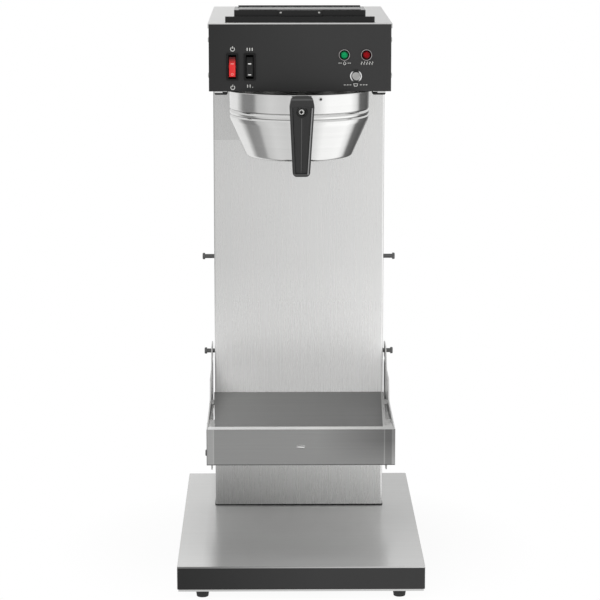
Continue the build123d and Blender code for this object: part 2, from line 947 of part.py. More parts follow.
def panel_screws():
    """Button head screws through the side returns of the front panel."""
    reach = head_half + seam
    length = 2 * panel_sheet + 2 * seam + nut_height
    screw = Rot(0, 90, 0) * pan_screw(length, head=button_head_radius, height=button_head_height)
    screws = []
    for z in panel_screw_heights():
        right = Pos(reach, panel_screw_y(), z) * screw
        screws += [right, mirror(right, about=Plane.YZ)]
    return group(screws)


def top_screw_places():
    """Where the top cover's rear flange is screwed down."""
    x = column_half - rear_return / 2
    z = head_top - cover_rear_flange / 2 - sheet / 2
    return [(-x, z), (x, z)]


def top_cover():
    """Stainless lid of the head with turned-down edges and an opening for the fill basin."""
    outer = head_half + seam + sheet
    body = block((-outer, outer), (head_front_y, rear_y), (head_top - cover_rear_flange, head_top))
    top_edges = body.edges().filter_by(Axis.Y).sort_by(Axis.Z)[2:]
    body = fillet(top_edges, head_bend)
    inner = head_half + seam
    room = block((-inner, inner), (head_front_y + sheet, rear_y - sheet), (head_bottom, cover_bottom))
    across = (-outer - sheet, outer + sheet)
    under = (head_bottom, head_top - cover_flange)
    below_sides = block(across, (head_front_y - sheet, rear_y - sheet), under)
    below_front = block(
        across, (head_front_y - sheet, head_front_y + 2 * sheet), (head_bottom, head_top - cover_lip)
    )
    beside_rear = block((inner, outer + sheet), (rear_y - 2 * sheet, rear_y + sheet), under)
    cover = body - room - below_sides - below_front - beside_rear - mirror(beside_rear, about=Plane.YZ)
    x, y = collar_limits(basin_flange + gap)
    cover -= block(x, y, (cover_bottom - sheet, head_top + sheet))
    for place_x, z in top_screw_places():
        cover -= rod_y(screw_radius + slip, place_x, (rear_y - 2 * sheet, rear_y + sheet), z)
    return cover


# Brew funnel

def funnel_side(inset):
    """Half profile of the funnel as radius and height pairs, moved inwards by a wall thickness."""
    upper = rim_top - groove_drops[0]
    lower = rim_top - groove_drops[1]
    groove = funnel_radius - inset - groove_depth
    bead = funnel_radius - inset
    return [
        (bead, upper + groove_half_height),
        (groove, upper),
        (bead, upper - groove_half_height),
        (bead, lower + groove_half_height),
        (groove, lower),
        (shoulder_radius - inset, lower - groove_half_height),
        (shoulder_radius - inset, rim_top - shoulder_drop),
        (cone_radius - inset, funnel_bottom + inset),
    ]


def funnel_body(inset, top):
    """Solid of the funnel's side profile, closed on the axis, with its shoulder and bottom blended."""
    points = [(0, top), (funnel_radius - inset, top)] + funnel_side(inset) + [(0, funnel_bottom + inset)]
    face = Plane.XZ * make_face(Polyline(*points, close=True))
    solid = revolve(face, Axis.Z)
    rings = solid.edges().filter_by(GeomType.CIRCLE)
    bottom = [e for e in rings if abs(e.center().Z - (funnel_bottom + inset)) < 0.01]
    solid = fillet(bottom, bottom_blend - inset)
    rings = solid.edges().filter_by(GeomType.CIRCLE)
    shoulder = [e for e in rings if abs(e.center().Z - (rim_top - shoulder_drop)) < 0.01]
    return fillet(shoulder, shoulder_blend - inset)


def brew_funnel():
    """Stainless brew funnel with a rolled-out rim, two pressed grooves, a cone and a spout."""
    outer = funnel_body(0, rim_top)
    outer += rod_z(rim_radius, 0, 0, (rim_top - rim_thickness, rim_top))
    outer += rod_z(spout_radius, 0, 0, (funnel_bottom - spout_length, funnel_bottom + funnel_wall))
    funnel = outer - funnel_body(funnel_wall, rim_top + sheet)
    funnel -= rod_z(spout_bore, 0, 0, (funnel_bottom - spout_length - 1, funnel_bottom + 2 * funnel_wall))
    screw_z = rim_top - handle_screw_drop
    funnel -= rod_y(screw_radius + slip, 0, (-funnel_radius - 2, -funnel_radius + 3), screw_z)
    vent = rod_y(vent_radius, 0, (-funnel_radius - 2, -funnel_radius + 3), rim_top - vent_drop)
    funnel -= Rot(0, 0, vent_angle) * vent
    return funnel_at * funnel


def filter_rest():
    """Slotted disc low in the funnel that holds the filter paper off the bottom."""
    height = funnel_bottom + rest_height
    slope = (shoulder_radius - cone_radius) / (funnel_depth - shoulder_drop)
    radius = cone_radius - funnel_wall + rest_height * slope - 2 * gap
    disc = rod_z(radius, 0, 0, (height, height + rest_thickness))
    slot = SlotOverall(radius * rest_slot_share, rest_slot_width)
    slot = extrude(slot, 3 * rest_thickness, both=True)
    for i in range(rest_slots):
        disc -= Rot(0, 0, 360 / rest_slots * i) * Pos(radius * rest_slot_place, 0, height) * slot
    return funnel_at * disc


def handle_face(inset):
    """Outline of the handle seen from the front: rounded, and narrower at its foot."""
    top = rim_top - handle_top_drop - inset
    foot = rim_top - handle_top_drop - handle_length + inset
    half_top = handle_top_width / 2 - inset
    half_foot = handle_foot_width / 2 - inset
    points = ((-half_top, top), (half_top, top), (half_foot, foot), (-half_foot, foot))
    face = make_face(Polyline(*points, close=True))
    face = fillet(face.vertices().group_by(Axis.Y)[-1], handle_top_corner - inset)
    face = fillet(face.vertices().group_by(Axis.Y)[0], handle_foot_corner - inset)
    return Plane.XZ * face


def funnel_handle():
    """Moulded handle with a raised border, a sunk face and a ridge down its middle."""
    back = -funnel_radius + handle_root
    front = -funnel_radius - handle_thickness
    face = front + handle_recess
    body = extrude(handle_face(0), -front) - extrude(handle_face(0), -back)
    front_edges = body.edges().group_by(Axis.Y)[0]
    body = fillet(front_edges, handle_edge)
    sink = extrude(handle_face(handle_border), -front + 1) - extrude(handle_face(handle_border), -face)
    low = rim_top - handle_length + 2 * handle_border
    screw_z = rim_top - handle_screw_drop
    half = handle_ridge_width / 2
    ridge = block((-half, half), (front, face + 1), (low, screw_z))
    boss = rod_y(handle_screw_recess + handle_boss, 0, (front + handle_boss_drop, face + 1), screw_z)
    body = body - (sink - ridge - boss)
    body -= rod_y(handle_screw_recess, 0, (front - 1, face + handle_screw_sink), screw_z)
    body -= rod_y(screw_radius + slip, 0, (front - 1, back + 1), screw_z)
    saddle = rod_z(funnel_radius + seam, 0, 0, (rim_top - 2 * handle_length, rim_top + sheet))
    rim_room = rod_z(rim_radius + gap, 0, 0, (rim_top - rim_thickness - gap, rim_top + sheet))
    return funnel_at * (body - saddle - rim_room)


def handle_screw():
    """Screw through the handle and the funnel wall, with its nut inside the funnel."""
    depth = handle_thickness - handle_recess - handle_screw_sink
    seat = -funnel_radius - depth - seam
    length = depth + funnel_wall + nut_height + thread_past_nut
    screw = Pos(0, seat, 0) * Rot(90, 0, 0) * pan_screw(length)
    nut = Rot(-90, 0, 0) * hex_z(nut_radius, 0, 0, (0, nut_height))
    nut = Pos(0, -funnel_radius + funnel_wall + 2 * seam, 0) * nut
    nut -= rod_y(screw_radius + slip / 2, 0, (-funnel_radius, -funnel_radius + 3 * nut_height), 0)
    return group(funnel_at * Pos(0, 0, rim_top - handle_screw_drop) * piece for piece in (screw, nut))


def rail_screw_places():
    """Where the rails are screwed to the floor of the head."""
    x = (rail_inner + rail_lip_width + rail_outer) / 2
    front = head_front_y + panel_return + rail_screw_front
    rear = head_front_y + rail_front_inset + rail_length - rail_screw_rear
    return [(side * x, y) for side in (-1, 1) for y in (front, rear)]


def funnel_rails():
    """Two black guide rails under the head, whose grooves carry the funnel's rim."""
    top = head_bottom - seam
    low = head_bottom - rail_height
    start = head_front_y + rail_front_inset
    lip_top_z = low + rail_lip_thickness
    points = (
        (rail_inner, top),
        (rail_outer, top),
        (rail_outer, low + rail_taper),
        (rail_outer - rail_taper, low),
        (rail_inner + rail_taper, low),
        (rail_inner, low + rail_taper),
    )
    section = Plane.XZ.offset(-start) * make_face(Polyline(*points, close=True))
    rail = extrude(section, -rail_length)
    groove = block(
        (rail_inner - 1, rail_inner + rail_lip_width), (start - 1, funnel_y + rail_stop), (lip_top_z, top + 1)
    )
    rail -= groove
    for x, y in rail_screw_places():
        if x > 0:
            rail -= rod_z(screw_radius + slip, x, y, (low - 1, top + 1))
            rail -= rod_z(screw_head_radius + gap, x, y, (low - 1, low + screw_head_height + seam))
    return mirrored_pair(rail)


# Spray head

def spray_cup():
    """Pressed cup over the opening in the head's floor, which holds the spray head."""
    low = head_bottom + sheet + seam
    high = low + spray_cup_height
    r = spray_cup_radius
    points = (
        (r, low),
        (r + cup_flange, low),
        (r + cup_flange, low + sheet),
        (r + sheet, low + sheet),
        (r + sheet, high),
        (spray_neck + slip, high),
        (spray_neck + slip, high - sheet),
        (r, high - sheet),
    )
    return Pos(0, funnel_y, 0) * turned(points)


def spray_head():
    """Round spray plate with two rings of holes and a neck that passes up through the cup."""
    low = head_bottom + sheet
    plate_top = low + spray_plate
    head = rod_z(spray_radius, 0, 0, (low, plate_top))
    head = chamfer(head.edges().sort_by(Axis.Z)[0], spray_chamfer)
    head += rod_z(spray_neck, 0, 0, (low, spray_neck_top))
    head -= rod_z(spray_neck - spray_wall, 0, 0, (low + spray_plate / 2, spray_neck_top + 1))
    for ring in range(1, spray_ring_count + 1):
        count = spray_hole_count * ring
        hole = rod_z(spray_hole, spray_ring_pitch * ring, 0, (low - 1, plate_top + 1))
        for i in range(count):
            head -= Rot(0, 0, 360 / count * i) * hole
    head -= rod_z(spray_hole, 0, 0, (low - 1, plate_top))
    return Pos(0, funnel_y, 0) * head


def bent_tube(points, bends, radius, bore):
    """A tube along straight runs joined by arcs."""
    path = FilletPolyline(*points, radius=bends)
    start = Plane(origin=path @ 0, z_dir=path % 0)
    outer = sweep(start * Circle(radius), path=path)
    return outer - sweep(start * Circle(bore), path=path)


def spray_pipe():
    """Tube from the tank's outlet forward and down to the spray head."""
    z = head_bottom + spray_pipe_height
    low = spray_neck_top + seam
    points = ((0, tank_front_y - stub_length - seam, z), (0, funnel_y, z), (0, funnel_y, low))
    return bent_tube(points, min(spray_pipe_bend, z - low - seam), spray_pipe_radius, spray_pipe_bore)


# Controls

def rocker_seat(x):
    """Pivot of a rocker on the front panel."""
    return Pos(x, head_front_y - bezel_proud + pivot_depth, head_bottom + rocker_height)


def rocker_lever(x):
    """Rocker with a creased face, tilted to its rest position, on two short trunnions."""
    half = lever_height / 2
    end = -lever_crease - lever_rise
    points = (
        (-lever_crease, 0),
        (end, half),
        (end + lever_shoulder, half),
        (-lever_waist, half - lever_taper),
        (lever_heel, lever_heel_half),
        (lever_heel, -lever_heel_half),
        (-lever_waist, -half + lever_taper),
        (end + lever_shoulder, -half),
        (end, -half),
    )
    body = side_plate(points, (-lever_width / 2, lever_width / 2))
    reach = well_width / 2 + trunnion_length
    body += rod_x(trunnion_radius, (-reach, reach), 0, 0)
    return rocker_seat(x) * Rot(-lever_tilt, 0, 0) * body


def switch_body(x):
    """Switch housing: a bezel on the panel, a well for the rocker and two blades behind."""
    z = head_bottom + rocker_height
    face = head_front_y - bezel_proud
    bezel = block(
        (x - bezel_width / 2, x + bezel_width / 2),
        (face, head_front_y - seam),
        (z - bezel_height / 2, z + bezel_height / 2),
    )
    bezel = fillet(bezel.edges().filter_by(Axis.Y), bezel_corner)
    housing = block(
        (x - switch_width / 2, x + switch_width / 2),
        (head_front_y - seam - sheet, head_front_y + switch_depth),
        (z - switch_height / 2, z + switch_height / 2),
    )
    well = block(
        (x - well_width / 2, x + well_width / 2),
        (face - 1, head_front_y + switch_depth - switch_back),
        (z - well_height / 2, z + well_height / 2),
    )
    body = bezel + housing - well
    pivot = (face + pivot_depth, z)
    reach = well_width / 2 + trunnion_length + gap
    body -= rod_x(trunnion_radius + hinge_fit, (x - reach, x + reach), *pivot)
    rear = head_front_y + switch_depth
    for blade_z in (z - switch_blade_offset, z + switch_blade_offset):
        body += block(
            (x - blade_width / 2, x + blade_width / 2),
            (rear - blade_thickness, rear + blade_length),
            (blade_z - blade_thickness / 2, blade_z + blade_thickness / 2),
        )
    return body


def lamp_bezels():
    """Metal collars of the two indicator lamps."""
    z = head_bottom + lamp_height
    collars = []
    for x in lamp_places:
        collar = rod_y(lamp_bezel_radius, x, (head_front_y - collar_proud, head_front_y - seam), z)
        collar = chamfer(collar.edges().sort_by(Axis.Y)[0], collar_chamfer)
        rear = head_front_y + barrel_length
        collar += rod_y(barrel_radius, x, (head_front_y - sheet, rear), z)
        collar -= rod_y(lens_radius + seam, x, (head_front_y - collar_proud - 1, rear + 1), z)
        collars.append(collar)
    return group(collars)


def lamp_lens(x):
    """Domed lens and lamp body inside a collar."""
    z = head_bottom + lamp_height
    front = head_front_y - collar_proud - lens_proud
    rear = head_front_y + barrel_length + lens_tail
    lens = rod_y(lens_radius, x, (front, rear), z)
    lens = chamfer(lens.edges().filter_by(GeomType.CIRCLE).sort_by(Axis.Y)[0], lens_chamfer)
    for blade_x in (x - lamp_blade_offset, x + lamp_blade_offset):
        lens += block(
            (blade_x - blade_thickness / 2, blade_x + blade_thickness / 2),
            (rear - blade_thickness, rear + blade_length),
            (z - lamp_blade_width / 2, z + lamp_blade_width / 2),
        )
    return lens


def panel_nuts():
    """Nuts behind the panel on the lamp collars and the push button."""
    start = head_front_y + panel_sheet + seam
    places = [(x, head_bottom + lamp_height) for x in lamp_places]
    places.append((button_place, head_bottom + button_height))
    nuts = []
    for x, z in places:
        blank = Pos(x, start, z) * Rot(-90, 0, 0) * hex_z(panel_nut_radius, 0, 0, (0, panel_nut_height))
        nuts.append(blank - rod_y(barrel_radius + slip / 2, x, (start - 1, start + panel_nut_height + 1), z))
    return group(nuts)


def button_body():
    """Push button housing: a bright ring, a barrel through the panel and a guide for the stem."""
    x = button_place
    z = head_bottom + button_height
    ring_front = head_front_y - collar_proud
    rear = head_front_y + barrel_length
    body = rod_y(ring_radius, x, (ring_front, head_front_y - seam), z)
    body = chamfer(body.edges().sort_by(Axis.Y)[0], ring_chamfer)
    body += rod_y(barrel_radius, x, (head_front_y - sheet, rear), z)
    body -= rod_y(cap_radius + gap, x, (ring_front - 1, rear - guide_thickness), z)
    body -= rod_y(stem_radius + hinge_fit, x, (rear - 2 * guide_thickness, rear + 1), z)
    return body


def button_cap():
    """Push button cap with a stem that slides in the guide behind it."""
    x = button_place
    z = head_bottom + button_height
    front = head_front_y - cap_proud
    cap = rod_y(cap_radius, x, (front, front + cap_thickness), z)
    cap = chamfer(cap.edges().sort_by(Axis.Y)[0], cap_chamfer)
    stem_end = head_front_y + barrel_length + stem_past_guide
    return cap + rod_y(stem_radius, x, (front + cap_thickness / 2, stem_end), z)


def button_spring():
    """Return spring round the button's stem, as a sleeve of its wound size and pressed length."""
    start = head_front_y - cap_proud + cap_thickness + button_travel + seam
    end = head_front_y + barrel_length - guide_thickness - seam
    z = head_bottom + button_height
    sleeve = rod_y(spring_radius, button_place, (start, end), z)
    return sleeve - rod_y(spring_radius - spring_wire, button_place, (start - 1, end + 1), z)


# Fill opening

def collar_limits(inset):
    """Limits in X and Y of the collar under the lid, moved inwards by an inset."""
    half = lid_width / 2 - lid_skirt - collar_gap - inset
    front = lid_front_y + lid_skirt + collar_gap + inset
    rear = hinge_y - ear_radius - gap - inset
    return (-half, half), (front, rear)


def fill_basin():
    """Moulded basin: a collar and flange on the top cover, a tapered bowl and a spout below."""
    x, y = collar_limits(0)
    low = head_top + seam
    top = low + collar_height
    middle = ((x[0] + x[1]) / 2, (y[0] + y[1]) / 2)
    collar = block(x, y, (low, top))
    collar = fillet(collar.edges().filter_by(Axis.Z), collar_corner)
    flange = block(
        (x[0] - flange_reach, x[1] + flange_reach),
        (y[0] - flange_reach, hinge_y + ear_radius),
        (low, low + basin_flange),
    )
    inner_x, inner_y = collar_limits(basin_flange + 2 * gap)
    mouth = Rectangle(inner_x[1] - inner_x[0], inner_y[1] - inner_y[0])
    place = Pos(middle[0], (inner_y[0] + inner_y[1]) / 2, low)
    bowl = extrude(place * mouth, -basin_depth, taper=basin_taper)
    spout_y = basin_spout_y()
    spout_low = low - basin_depth - basin_spout_length
    spout = rod_z(basin_spout_radius, basin_spout_offset, spout_y, (spout_low, low - basin_depth + 1))
    wall = collar_wall
    hollow_mouth = Rectangle(inner_x[1] - inner_x[0] - 2 * wall, inner_y[1] - inner_y[0] - 2 * wall)
    hollow = extrude(place * hollow_mouth, -basin_depth + wall, taper=basin_taper)
    hollow += block(
        (inner_x[0] + wall, inner_x[1] - wall), (inner_y[0] + wall, inner_y[1] - wall), (low - slip, top + 1)
    )
    basin = collar + flange + bowl + spout - hollow
    basin -= rod_z(basin_spout_bore, basin_spout_offset, spout_y, (spout_low - 1, low))
    for side in (-1, 1):
        ear_x = (side * ear_offset - ear_width / 2, side * ear_offset + ear_width / 2)
        ear = block(ear_x, (hinge_y - ear_radius, hinge_y + ear_radius), (low, hinge_z))
        ear += rod_x(ear_radius, ear_x, hinge_y, hinge_z)
        ear += block(ear_x, (y[1] - wall, hinge_y), (low, hinge_z))
        basin += ear
    pin_room = (-ear_offset - ear_width, ear_offset + ear_width)
    return basin - rod_x(hinge_pin_radius + hinge_fit, pin_room, hinge_y, hinge_z)


def basin_spout_y():
    """Depth of the spout under the basin."""
    return collar_limits(basin_flange + 2 * gap)[1][1] - basin_spout_inset


def basin_strainer():
    """Perforated plate that rests low in the basin over its spout."""
    wall = collar_wall
    x, y = collar_limits(basin_flange + 2 * gap)
    depth = basin_depth - strainer_height - wall
    shrink = depth * math.tan(math.radians(basin_taper)) + wall + gap
    z = head_top + seam - depth
    plate = block((x[0] + shrink, x[1] - shrink), (y[0] + shrink, y[1] - shrink), (z, z + strainer_thickness))
    length = y[1] - y[0] - 2 * shrink - 2 * strainer_edge
    slot = extrude(Rot(0, 0, 90) * SlotOverall(length, strainer_slot), 2 * strainer_thickness, both=True)
    reach = x[1] - x[0] - 2 * shrink
    for i in range(strainer_slots):
        place = x[0] + shrink + reach * (i + 0.5) / strainer_slots
        plate -= Pos(place, (y[0] + y[1]) / 2, z) * slot
    return plate


def fill_lid():
    """Cap over the basin's collar with a raised panel, a rear rib and a hinge knuckle."""
    half = lid_width / 2
    top = lid_top
    low = head_top + lid_skirt_gap
    rear = hinge_y + lid_overhang
    cap = block((-half, half), (lid_front_y, rear), (low, top))
    cap = fillet(cap.edges().filter_by(Axis.Z).sort_by(Axis.Y)[:2], guard_corner)
    cap = fillet(cap.faces().sort_by(Axis.Z)[-1].edges(), lid_edge)
    cap -= block(
        (-half + lid_skirt, half - lid_skirt), (lid_front_y + lid_skirt, rear + 1), (low - 1, top - lid_plate)
    )
    inset = lid_panel_inset
    panel = block(
        (-half + inset, half - inset),
        (lid_front_y + inset, rear - inset),
        (top - lid_plate, top + lid_panel_rise),
    )
    rib_rear = rear - inset + lid_rib_depth
    rib = block(
        (-lid_rib_width / 2, lid_rib_width / 2),
        (rib_rear - lid_rib_depth, rib_rear),
        (top - lid_plate, top + lid_rib_height),
    )
    knuckle_x = (-ear_offset + ear_width / 2 + gap, ear_offset - ear_width / 2 - gap)
    knuckle = rod_x(knuckle_radius, knuckle_x, hinge_y, hinge_z)
    web = block(knuckle_x, (hinge_y - knuckle_radius, rear), (hinge_z, top - lid_plate / 2))
    lid = cap + panel + rib + knuckle + web
    lid -= rod_x(hinge_pin_radius + hinge_fit, (-ear_offset, ear_offset), hinge_y, hinge_z)
    for side in (-1, 1):
        through = (lid_front_y - 1, lid_front_y + lid_skirt + 1)
        lid -= rod_y(grip_screw_radius + hinge_fit, side * grip_screw_offset, through, grip_screw_z())
    return lid


def grip_screw_z():
    """Height of the two screws of the lid's grip."""
    return lid_top - grip_screw_drop


def lid_grip():
    """Finger grip screwed to the front of the lid, hollowed underneath."""
    half = grip_width / 2
    back = lid_front_y - seam
    front = back - grip_depth
    top = lid_top + grip_rise
    grip = block((-half, half), (front, back), (top - grip_height, top))
    grip = fillet(grip.edges().filter_by(Axis.Z).sort_by(Axis.Y)[:2], grip_corner)
    hollow_x = grip_screw_offset - grip_end_wall
    hollow_z = (top - grip_height - 1, top - grip_top_wall)
    grip -= block((-hollow_x, hollow_x), (front + grip_wall, back + 1), hollow_z)
    through = (front - 1, back + 1)
    for side in (-1, 1):
        grip -= rod_y(grip_screw_radius + slip, side * grip_screw_offset, through, grip_screw_z())
    return grip


def grip_screws():
    """Two small screws through the grip into the lid."""
    front = lid_front_y - seam - grip_depth - seam
    length = grip_depth + lid_skirt - gap
    screw = Rot(90, 0, 0) * pan_screw(
        length, head=grip_screw_head, height=grip_screw_head_height, shank=grip_screw_radius
    )
    return group(Pos(side * grip_screw_offset, front, grip_screw_z()) * screw for side in (-1, 1))


def hinge_pin():
    """Pin through the basin's ears and the lid's knuckle."""
    reach = ear_offset + ear_width / 2 + hinge_pin_past_ear
    return rod_x(hinge_pin_radius, (-reach, reach), hinge_y, hinge_z)


def spill_guard():
    """Low moulded bar in front of the lid that keeps spilt water off the control panel."""
    half = guard_width / 2
    front = head_front_y + guard_inset
    rear = front + guard_depth
    low = head_top + seam
    bar = block((-half, half), (front, rear), (low, low + guard_height))
    bar = fillet(bar.edges().filter_by(Axis.Z).sort_by(Axis.Y)[:2], guard_corner)
    bar = fillet(bar.faces().sort_by(Axis.Z)[-1].edges(), guard_edge)
    cell = (guard_width - guard_wall) / guard_cells
    y = (front + guard_wall, rear - guard_wall)
    for i in range(guard_cells):
        x = -half + guard_wall + i * cell
        bar -= block((x, x + cell - guard_wall), y, (low - 1, low + guard_height - guard_wall))
    return bar


# Tank and water parts

def tank_outline(offset):
    """Rounded rectangle of the tank in plan, grown by an offset."""
    return Pos(0, tank_mid_y, 0) * RectangleRounded(
        tank_width + 2 * offset, tank_depth + 2 * offset, tank_corner + offset
    )


def tank_screw_places():
    """Screws round the tank's flange."""
    half_x = (tank_width + tank_flange) / 2
    half_y = (tank_depth + tank_flange) / 2
    places = [(side * half_x, tank_mid_y + y) for side in (-1, 1) for y in tank_screw_ys]
    places += [(x, tank_mid_y + side * half_y) for side in (-1, 1) for x in tank_screw_xs]
    return places


def water_tank():
    """Stainless water tank with an outward flange, a hot outlet and two cold inlets."""
    tank = extrude(Pos(0, 0, tank_bottom) * tank_outline(0), tank_top - tank_bottom)
    flange = extrude(Pos(0, 0, tank_top - sheet) * tank_outline(tank_flange), sheet)
    hollow = extrude(Pos(0, 0, tank_bottom + sheet) * tank_outline(-sheet), tank_top - tank_bottom)
    z = head_bottom + spray_pipe_height
    front = tank_front_y - stub_length
    outlet = rod_y(spray_pipe_radius, 0, (front, tank_front_y + sheet), z)
    inlet = rod_y(tank_inlet_radius, basin_spout_offset, (front, tank_front_y + sheet), hose_inlet_height)
    drop = tank_bottom - stub_length
    cold = rod_z(valve_tube_radius, valve_place, valve_y(), (drop, tank_bottom + sheet))
    tank = tank + flange + outlet + inlet + cold - hollow
    through = (front - 1, tank_front_y + 2 * sheet)
    tank -= rod_y(spray_pipe_bore, 0, through, z)
    tank -= rod_y(tank_inlet_radius - stub_wall, basin_spout_offset, through, hose_inlet_height)
    tank -= rod_z(valve_tube_bore, valve_place, valve_y(), (drop - 1, tank_bottom + 2 * sheet))
    for x, y in tank_screw_places():
        tank -= rod_z(screw_radius + slip, x, y, (tank_top - 2 * sheet, tank_top + sheet))
    return tank


def flange_ring(low, thickness):
    """Ring of the tank's flange shape, with its screw holes."""
    ring = extrude(Pos(0, 0, low) * tank_outline(tank_flange), thickness)
    ring -= extrude(Pos(0, 0, low - 1) * tank_outline(-sheet), thickness + 2)
    for x, y in tank_screw_places():
        ring -= rod_z(screw_radius + slip, x, y, (low - 1, low + thickness + 1))
    return ring


def tank_gasket():
    """Silicone ring between the tank and its lid."""
    return flange_ring(tank_top + seam, gasket_thickness)


def tank_lid():
    """Lid of the tank, with the holes for the heater and the level probe."""
    low = tank_lid_bottom
    lid = extrude(Pos(0, 0, low) * tank_outline(tank_flange), tank_lid_thickness)
    through = (low - 1, low + tank_lid_thickness + 1)
    for x, y in tank_screw_places():
        lid -= rod_z(screw_radius + slip, x, y, through)
    for side in (-1, 1):
        lid -= rod_z(element_radius + slip, side * element_spread / 2, tank_mid_y, through)
    lid -= rod_z(probe_radius + slip, probe_x(), tank_mid_y, through)
    return lid


def tank_screws():
    """Screws and their threads through lid, gasket and flange."""
    seat = tank_lid_bottom + tank_lid_thickness + seam
    length = tank_lid_thickness + gasket_thickness + sheet + nut_height + thread_past_nut
    return group(Pos(x, y, seat) * pan_screw(length) for x, y in tank_screw_places())


def heating_element():
    """Tubular heater: a U that hangs from the tank's lid, with a flange nut at each leg."""
    top = tank_lid_bottom + tank_lid_thickness + element_stub
    low = tank_lid_bottom - element_depth
    half = element_spread / 2
    points = (
        (-half, tank_mid_y, top),
        (-half, tank_mid_y, low),
        (half, tank_mid_y, low),
        (half, tank_mid_y, top),
    )
    path = FilletPolyline(*points, radius=element_bend)
    start = Plane(origin=path @ 0, z_dir=path % 0)
    element = sweep(start * Circle(element_radius), path=path)
    seat = tank_lid_bottom + tank_lid_thickness + seam
    for side in (-1, 1):
        element += hex_z(element_nut_radius, side * half, tank_mid_y, (seat, seat + element_nut_height))
    return element


def probe_x():
    """Place of the level probe across the tank's lid."""
    return -tank_width / 2 + probe_inset


def level_probe():
    """Level probe: a thin rod into the tank under an insulating cap."""
    seat = tank_lid_bottom + tank_lid_thickness + seam
    rod = rod_z(probe_radius, probe_x(), tank_mid_y, (tank_lid_bottom - probe_length, seat + 1))
    return rod + rod_z(probe_cap_radius, probe_x(), tank_mid_y, (seat, seat + probe_cap_height))


def thermostat():
    """Snap disc thermostat on the tank's side wall, with two blades."""
    face = tank_width / 2 + seam
    end = face + thermostat_height
    z = tank_bottom + thermostat_rise
    disc = rod_x(thermostat_radius, (face, end), tank_mid_y, z)
    for y in (tank_mid_y - thermostat_blade_offset, tank_mid_y + thermostat_blade_offset):
        disc += block(
            (end - blade_thickness, end + blade_length),
            (y - blade_thickness / 2, y + blade_thickness / 2),
            (z - blade_width / 2, z + blade_width / 2),
        )
    return disc


def tank_brackets():
    """Two angles on the column's walls, which the tank stands on."""
    wall = column_half - sheet - seam
    top = tank_bottom - seam
    y = (tank_mid_y - bracket_width / 2, tank_mid_y + bracket_width / 2)
    leg = block((wall - bracket_thickness, wall), y, (top - bracket_leg, top))
    seat = block((wall - bracket_seat, wall), y, (top - bracket_thickness, top))
    return mirrored_pair(leg + seat)


def fill_hose():
    """Hose from the basin's spout down and back to the tank's cold inlet."""
    top = head_top + seam - basin_depth - seam
    y = basin_spout_y()
    x = basin_spout_offset
    points = (
        (x, y, top - basin_spout_length),
        (x, y, hose_inlet_height),
        (x, tank_front_y - stub_length - seam, hose_inlet_height),
    )
    room = top - basin_spout_length - hose_inlet_height
    return bent_tube(points, min(hose_bend, room - seam), hose_radius, hose_bore)


def valve_y():
    """Depth of the valve's upright tube."""
    return rear_y - sheet - valve_length + valve_outlet_inset


def inlet_valve():
    """Water valve behind the rear cover: a block, a coil and an outlet on top."""
    rear = rear_y - sheet - inlet_flange_height - seam
    x = (valve_place - valve_width / 2, valve_place + valve_width / 2)
    z = (valve_height - valve_block_height / 2, valve_height + valve_block_height / 2)
    y = (rear - valve_length, rear)
    valve = block(x, y, z)
    valve = fillet(valve.edges().filter_by(Axis.Y), valve_corner)
    coil_z = z[0] - coil_height
    valve += rod_z(coil_radius, valve_place, (y[0] + y[1]) / 2, (max(coil_z, base_top + 3 * sheet), z[0] + 1))
    outlet_top = z[1] + valve_outlet_height
    valve += rod_z(valve_tube_radius + valve_outlet_wall, valve_place, valve_y(), (z[1] - 1, outlet_top))
    valve -= rod_z(valve_tube_bore, valve_place, valve_y(), (valve_height, outlet_top + 1))
    return valve


def water_inlet():
    """Inlet through the rear cover: a flange against the valve, a neck with its nut, a relief, a free end."""
    start = rear_y - sheet - inlet_flange_height
    nut_end = rear_y + seam + rear_nut_height
    free = (nut_end + inlet_relief_width, rear_y + inlet_reach)
    body = rod_y(inlet_radius, valve_place, free, valve_height)
    body = chamfer(body.edges().filter_by(GeomType.CIRCLE).sort_by(Axis.Y)[-1], inlet_chamfer)
    body += rod_y(inlet_relief_radius, valve_place, (rear_y, free[1] - inlet_chamfer), valve_height)
    body += rod_y(inlet_neck_radius, valve_place, (start, rear_y + rear_nut_height), valve_height)
    body += rod_y(inlet_flange_radius, valve_place, (start, rear_y - sheet - seam), valve_height)
    nut = Rot(-90, 0, 0) * hex_z(inlet_flange_radius, 0, 0, (0, rear_nut_height))
    nut = Pos(valve_place, rear_y + seam, valve_height) * nut
    bore = (start - 1, rear_y + inlet_reach + 1)
    return body + nut - rod_y(inlet_bore, valve_place, bore, valve_height)


def valve_tube():
    """Upright tube from the valve to the bottom of the tank."""
    low = valve_height + valve_block_height / 2 + valve_outlet_height + seam
    high = tank_bottom - stub_length - seam
    tube = rod_z(valve_tube_radius, valve_place, valve_y(), (low, high))
    return tube - rod_z(valve_tube_bore, valve_place, valve_y(), (low - 1, high + 1))


def cord_gland():
    """Mains gland in the rear cover: a flange and dome outside, a nut inside."""
    start = rear_y - sheet - gland_tail
    body = rod_y(gland_radius, gland_place, (start, rear_y + gland_reach), gland_height)
    body += rod_y(gland_flange_radius, gland_place, (rear_y + seam, rear_y + rear_nut_height), gland_height)
    body = chamfer(body.edges().filter_by(GeomType.CIRCLE).sort_by(Axis.Y)[-1], gland_chamfer)
    nut = Rot(90, 0, 0) * hex_z(gland_flange_radius, 0, 0, (0, rear_nut_height))
    nut = Pos(gland_place, rear_y - sheet - seam, gland_height) * nut
    bore = (start - 1, rear_y + gland_reach + 1)
    return body + nut - rod_y(gland_bore, gland_place, bore, gland_height)


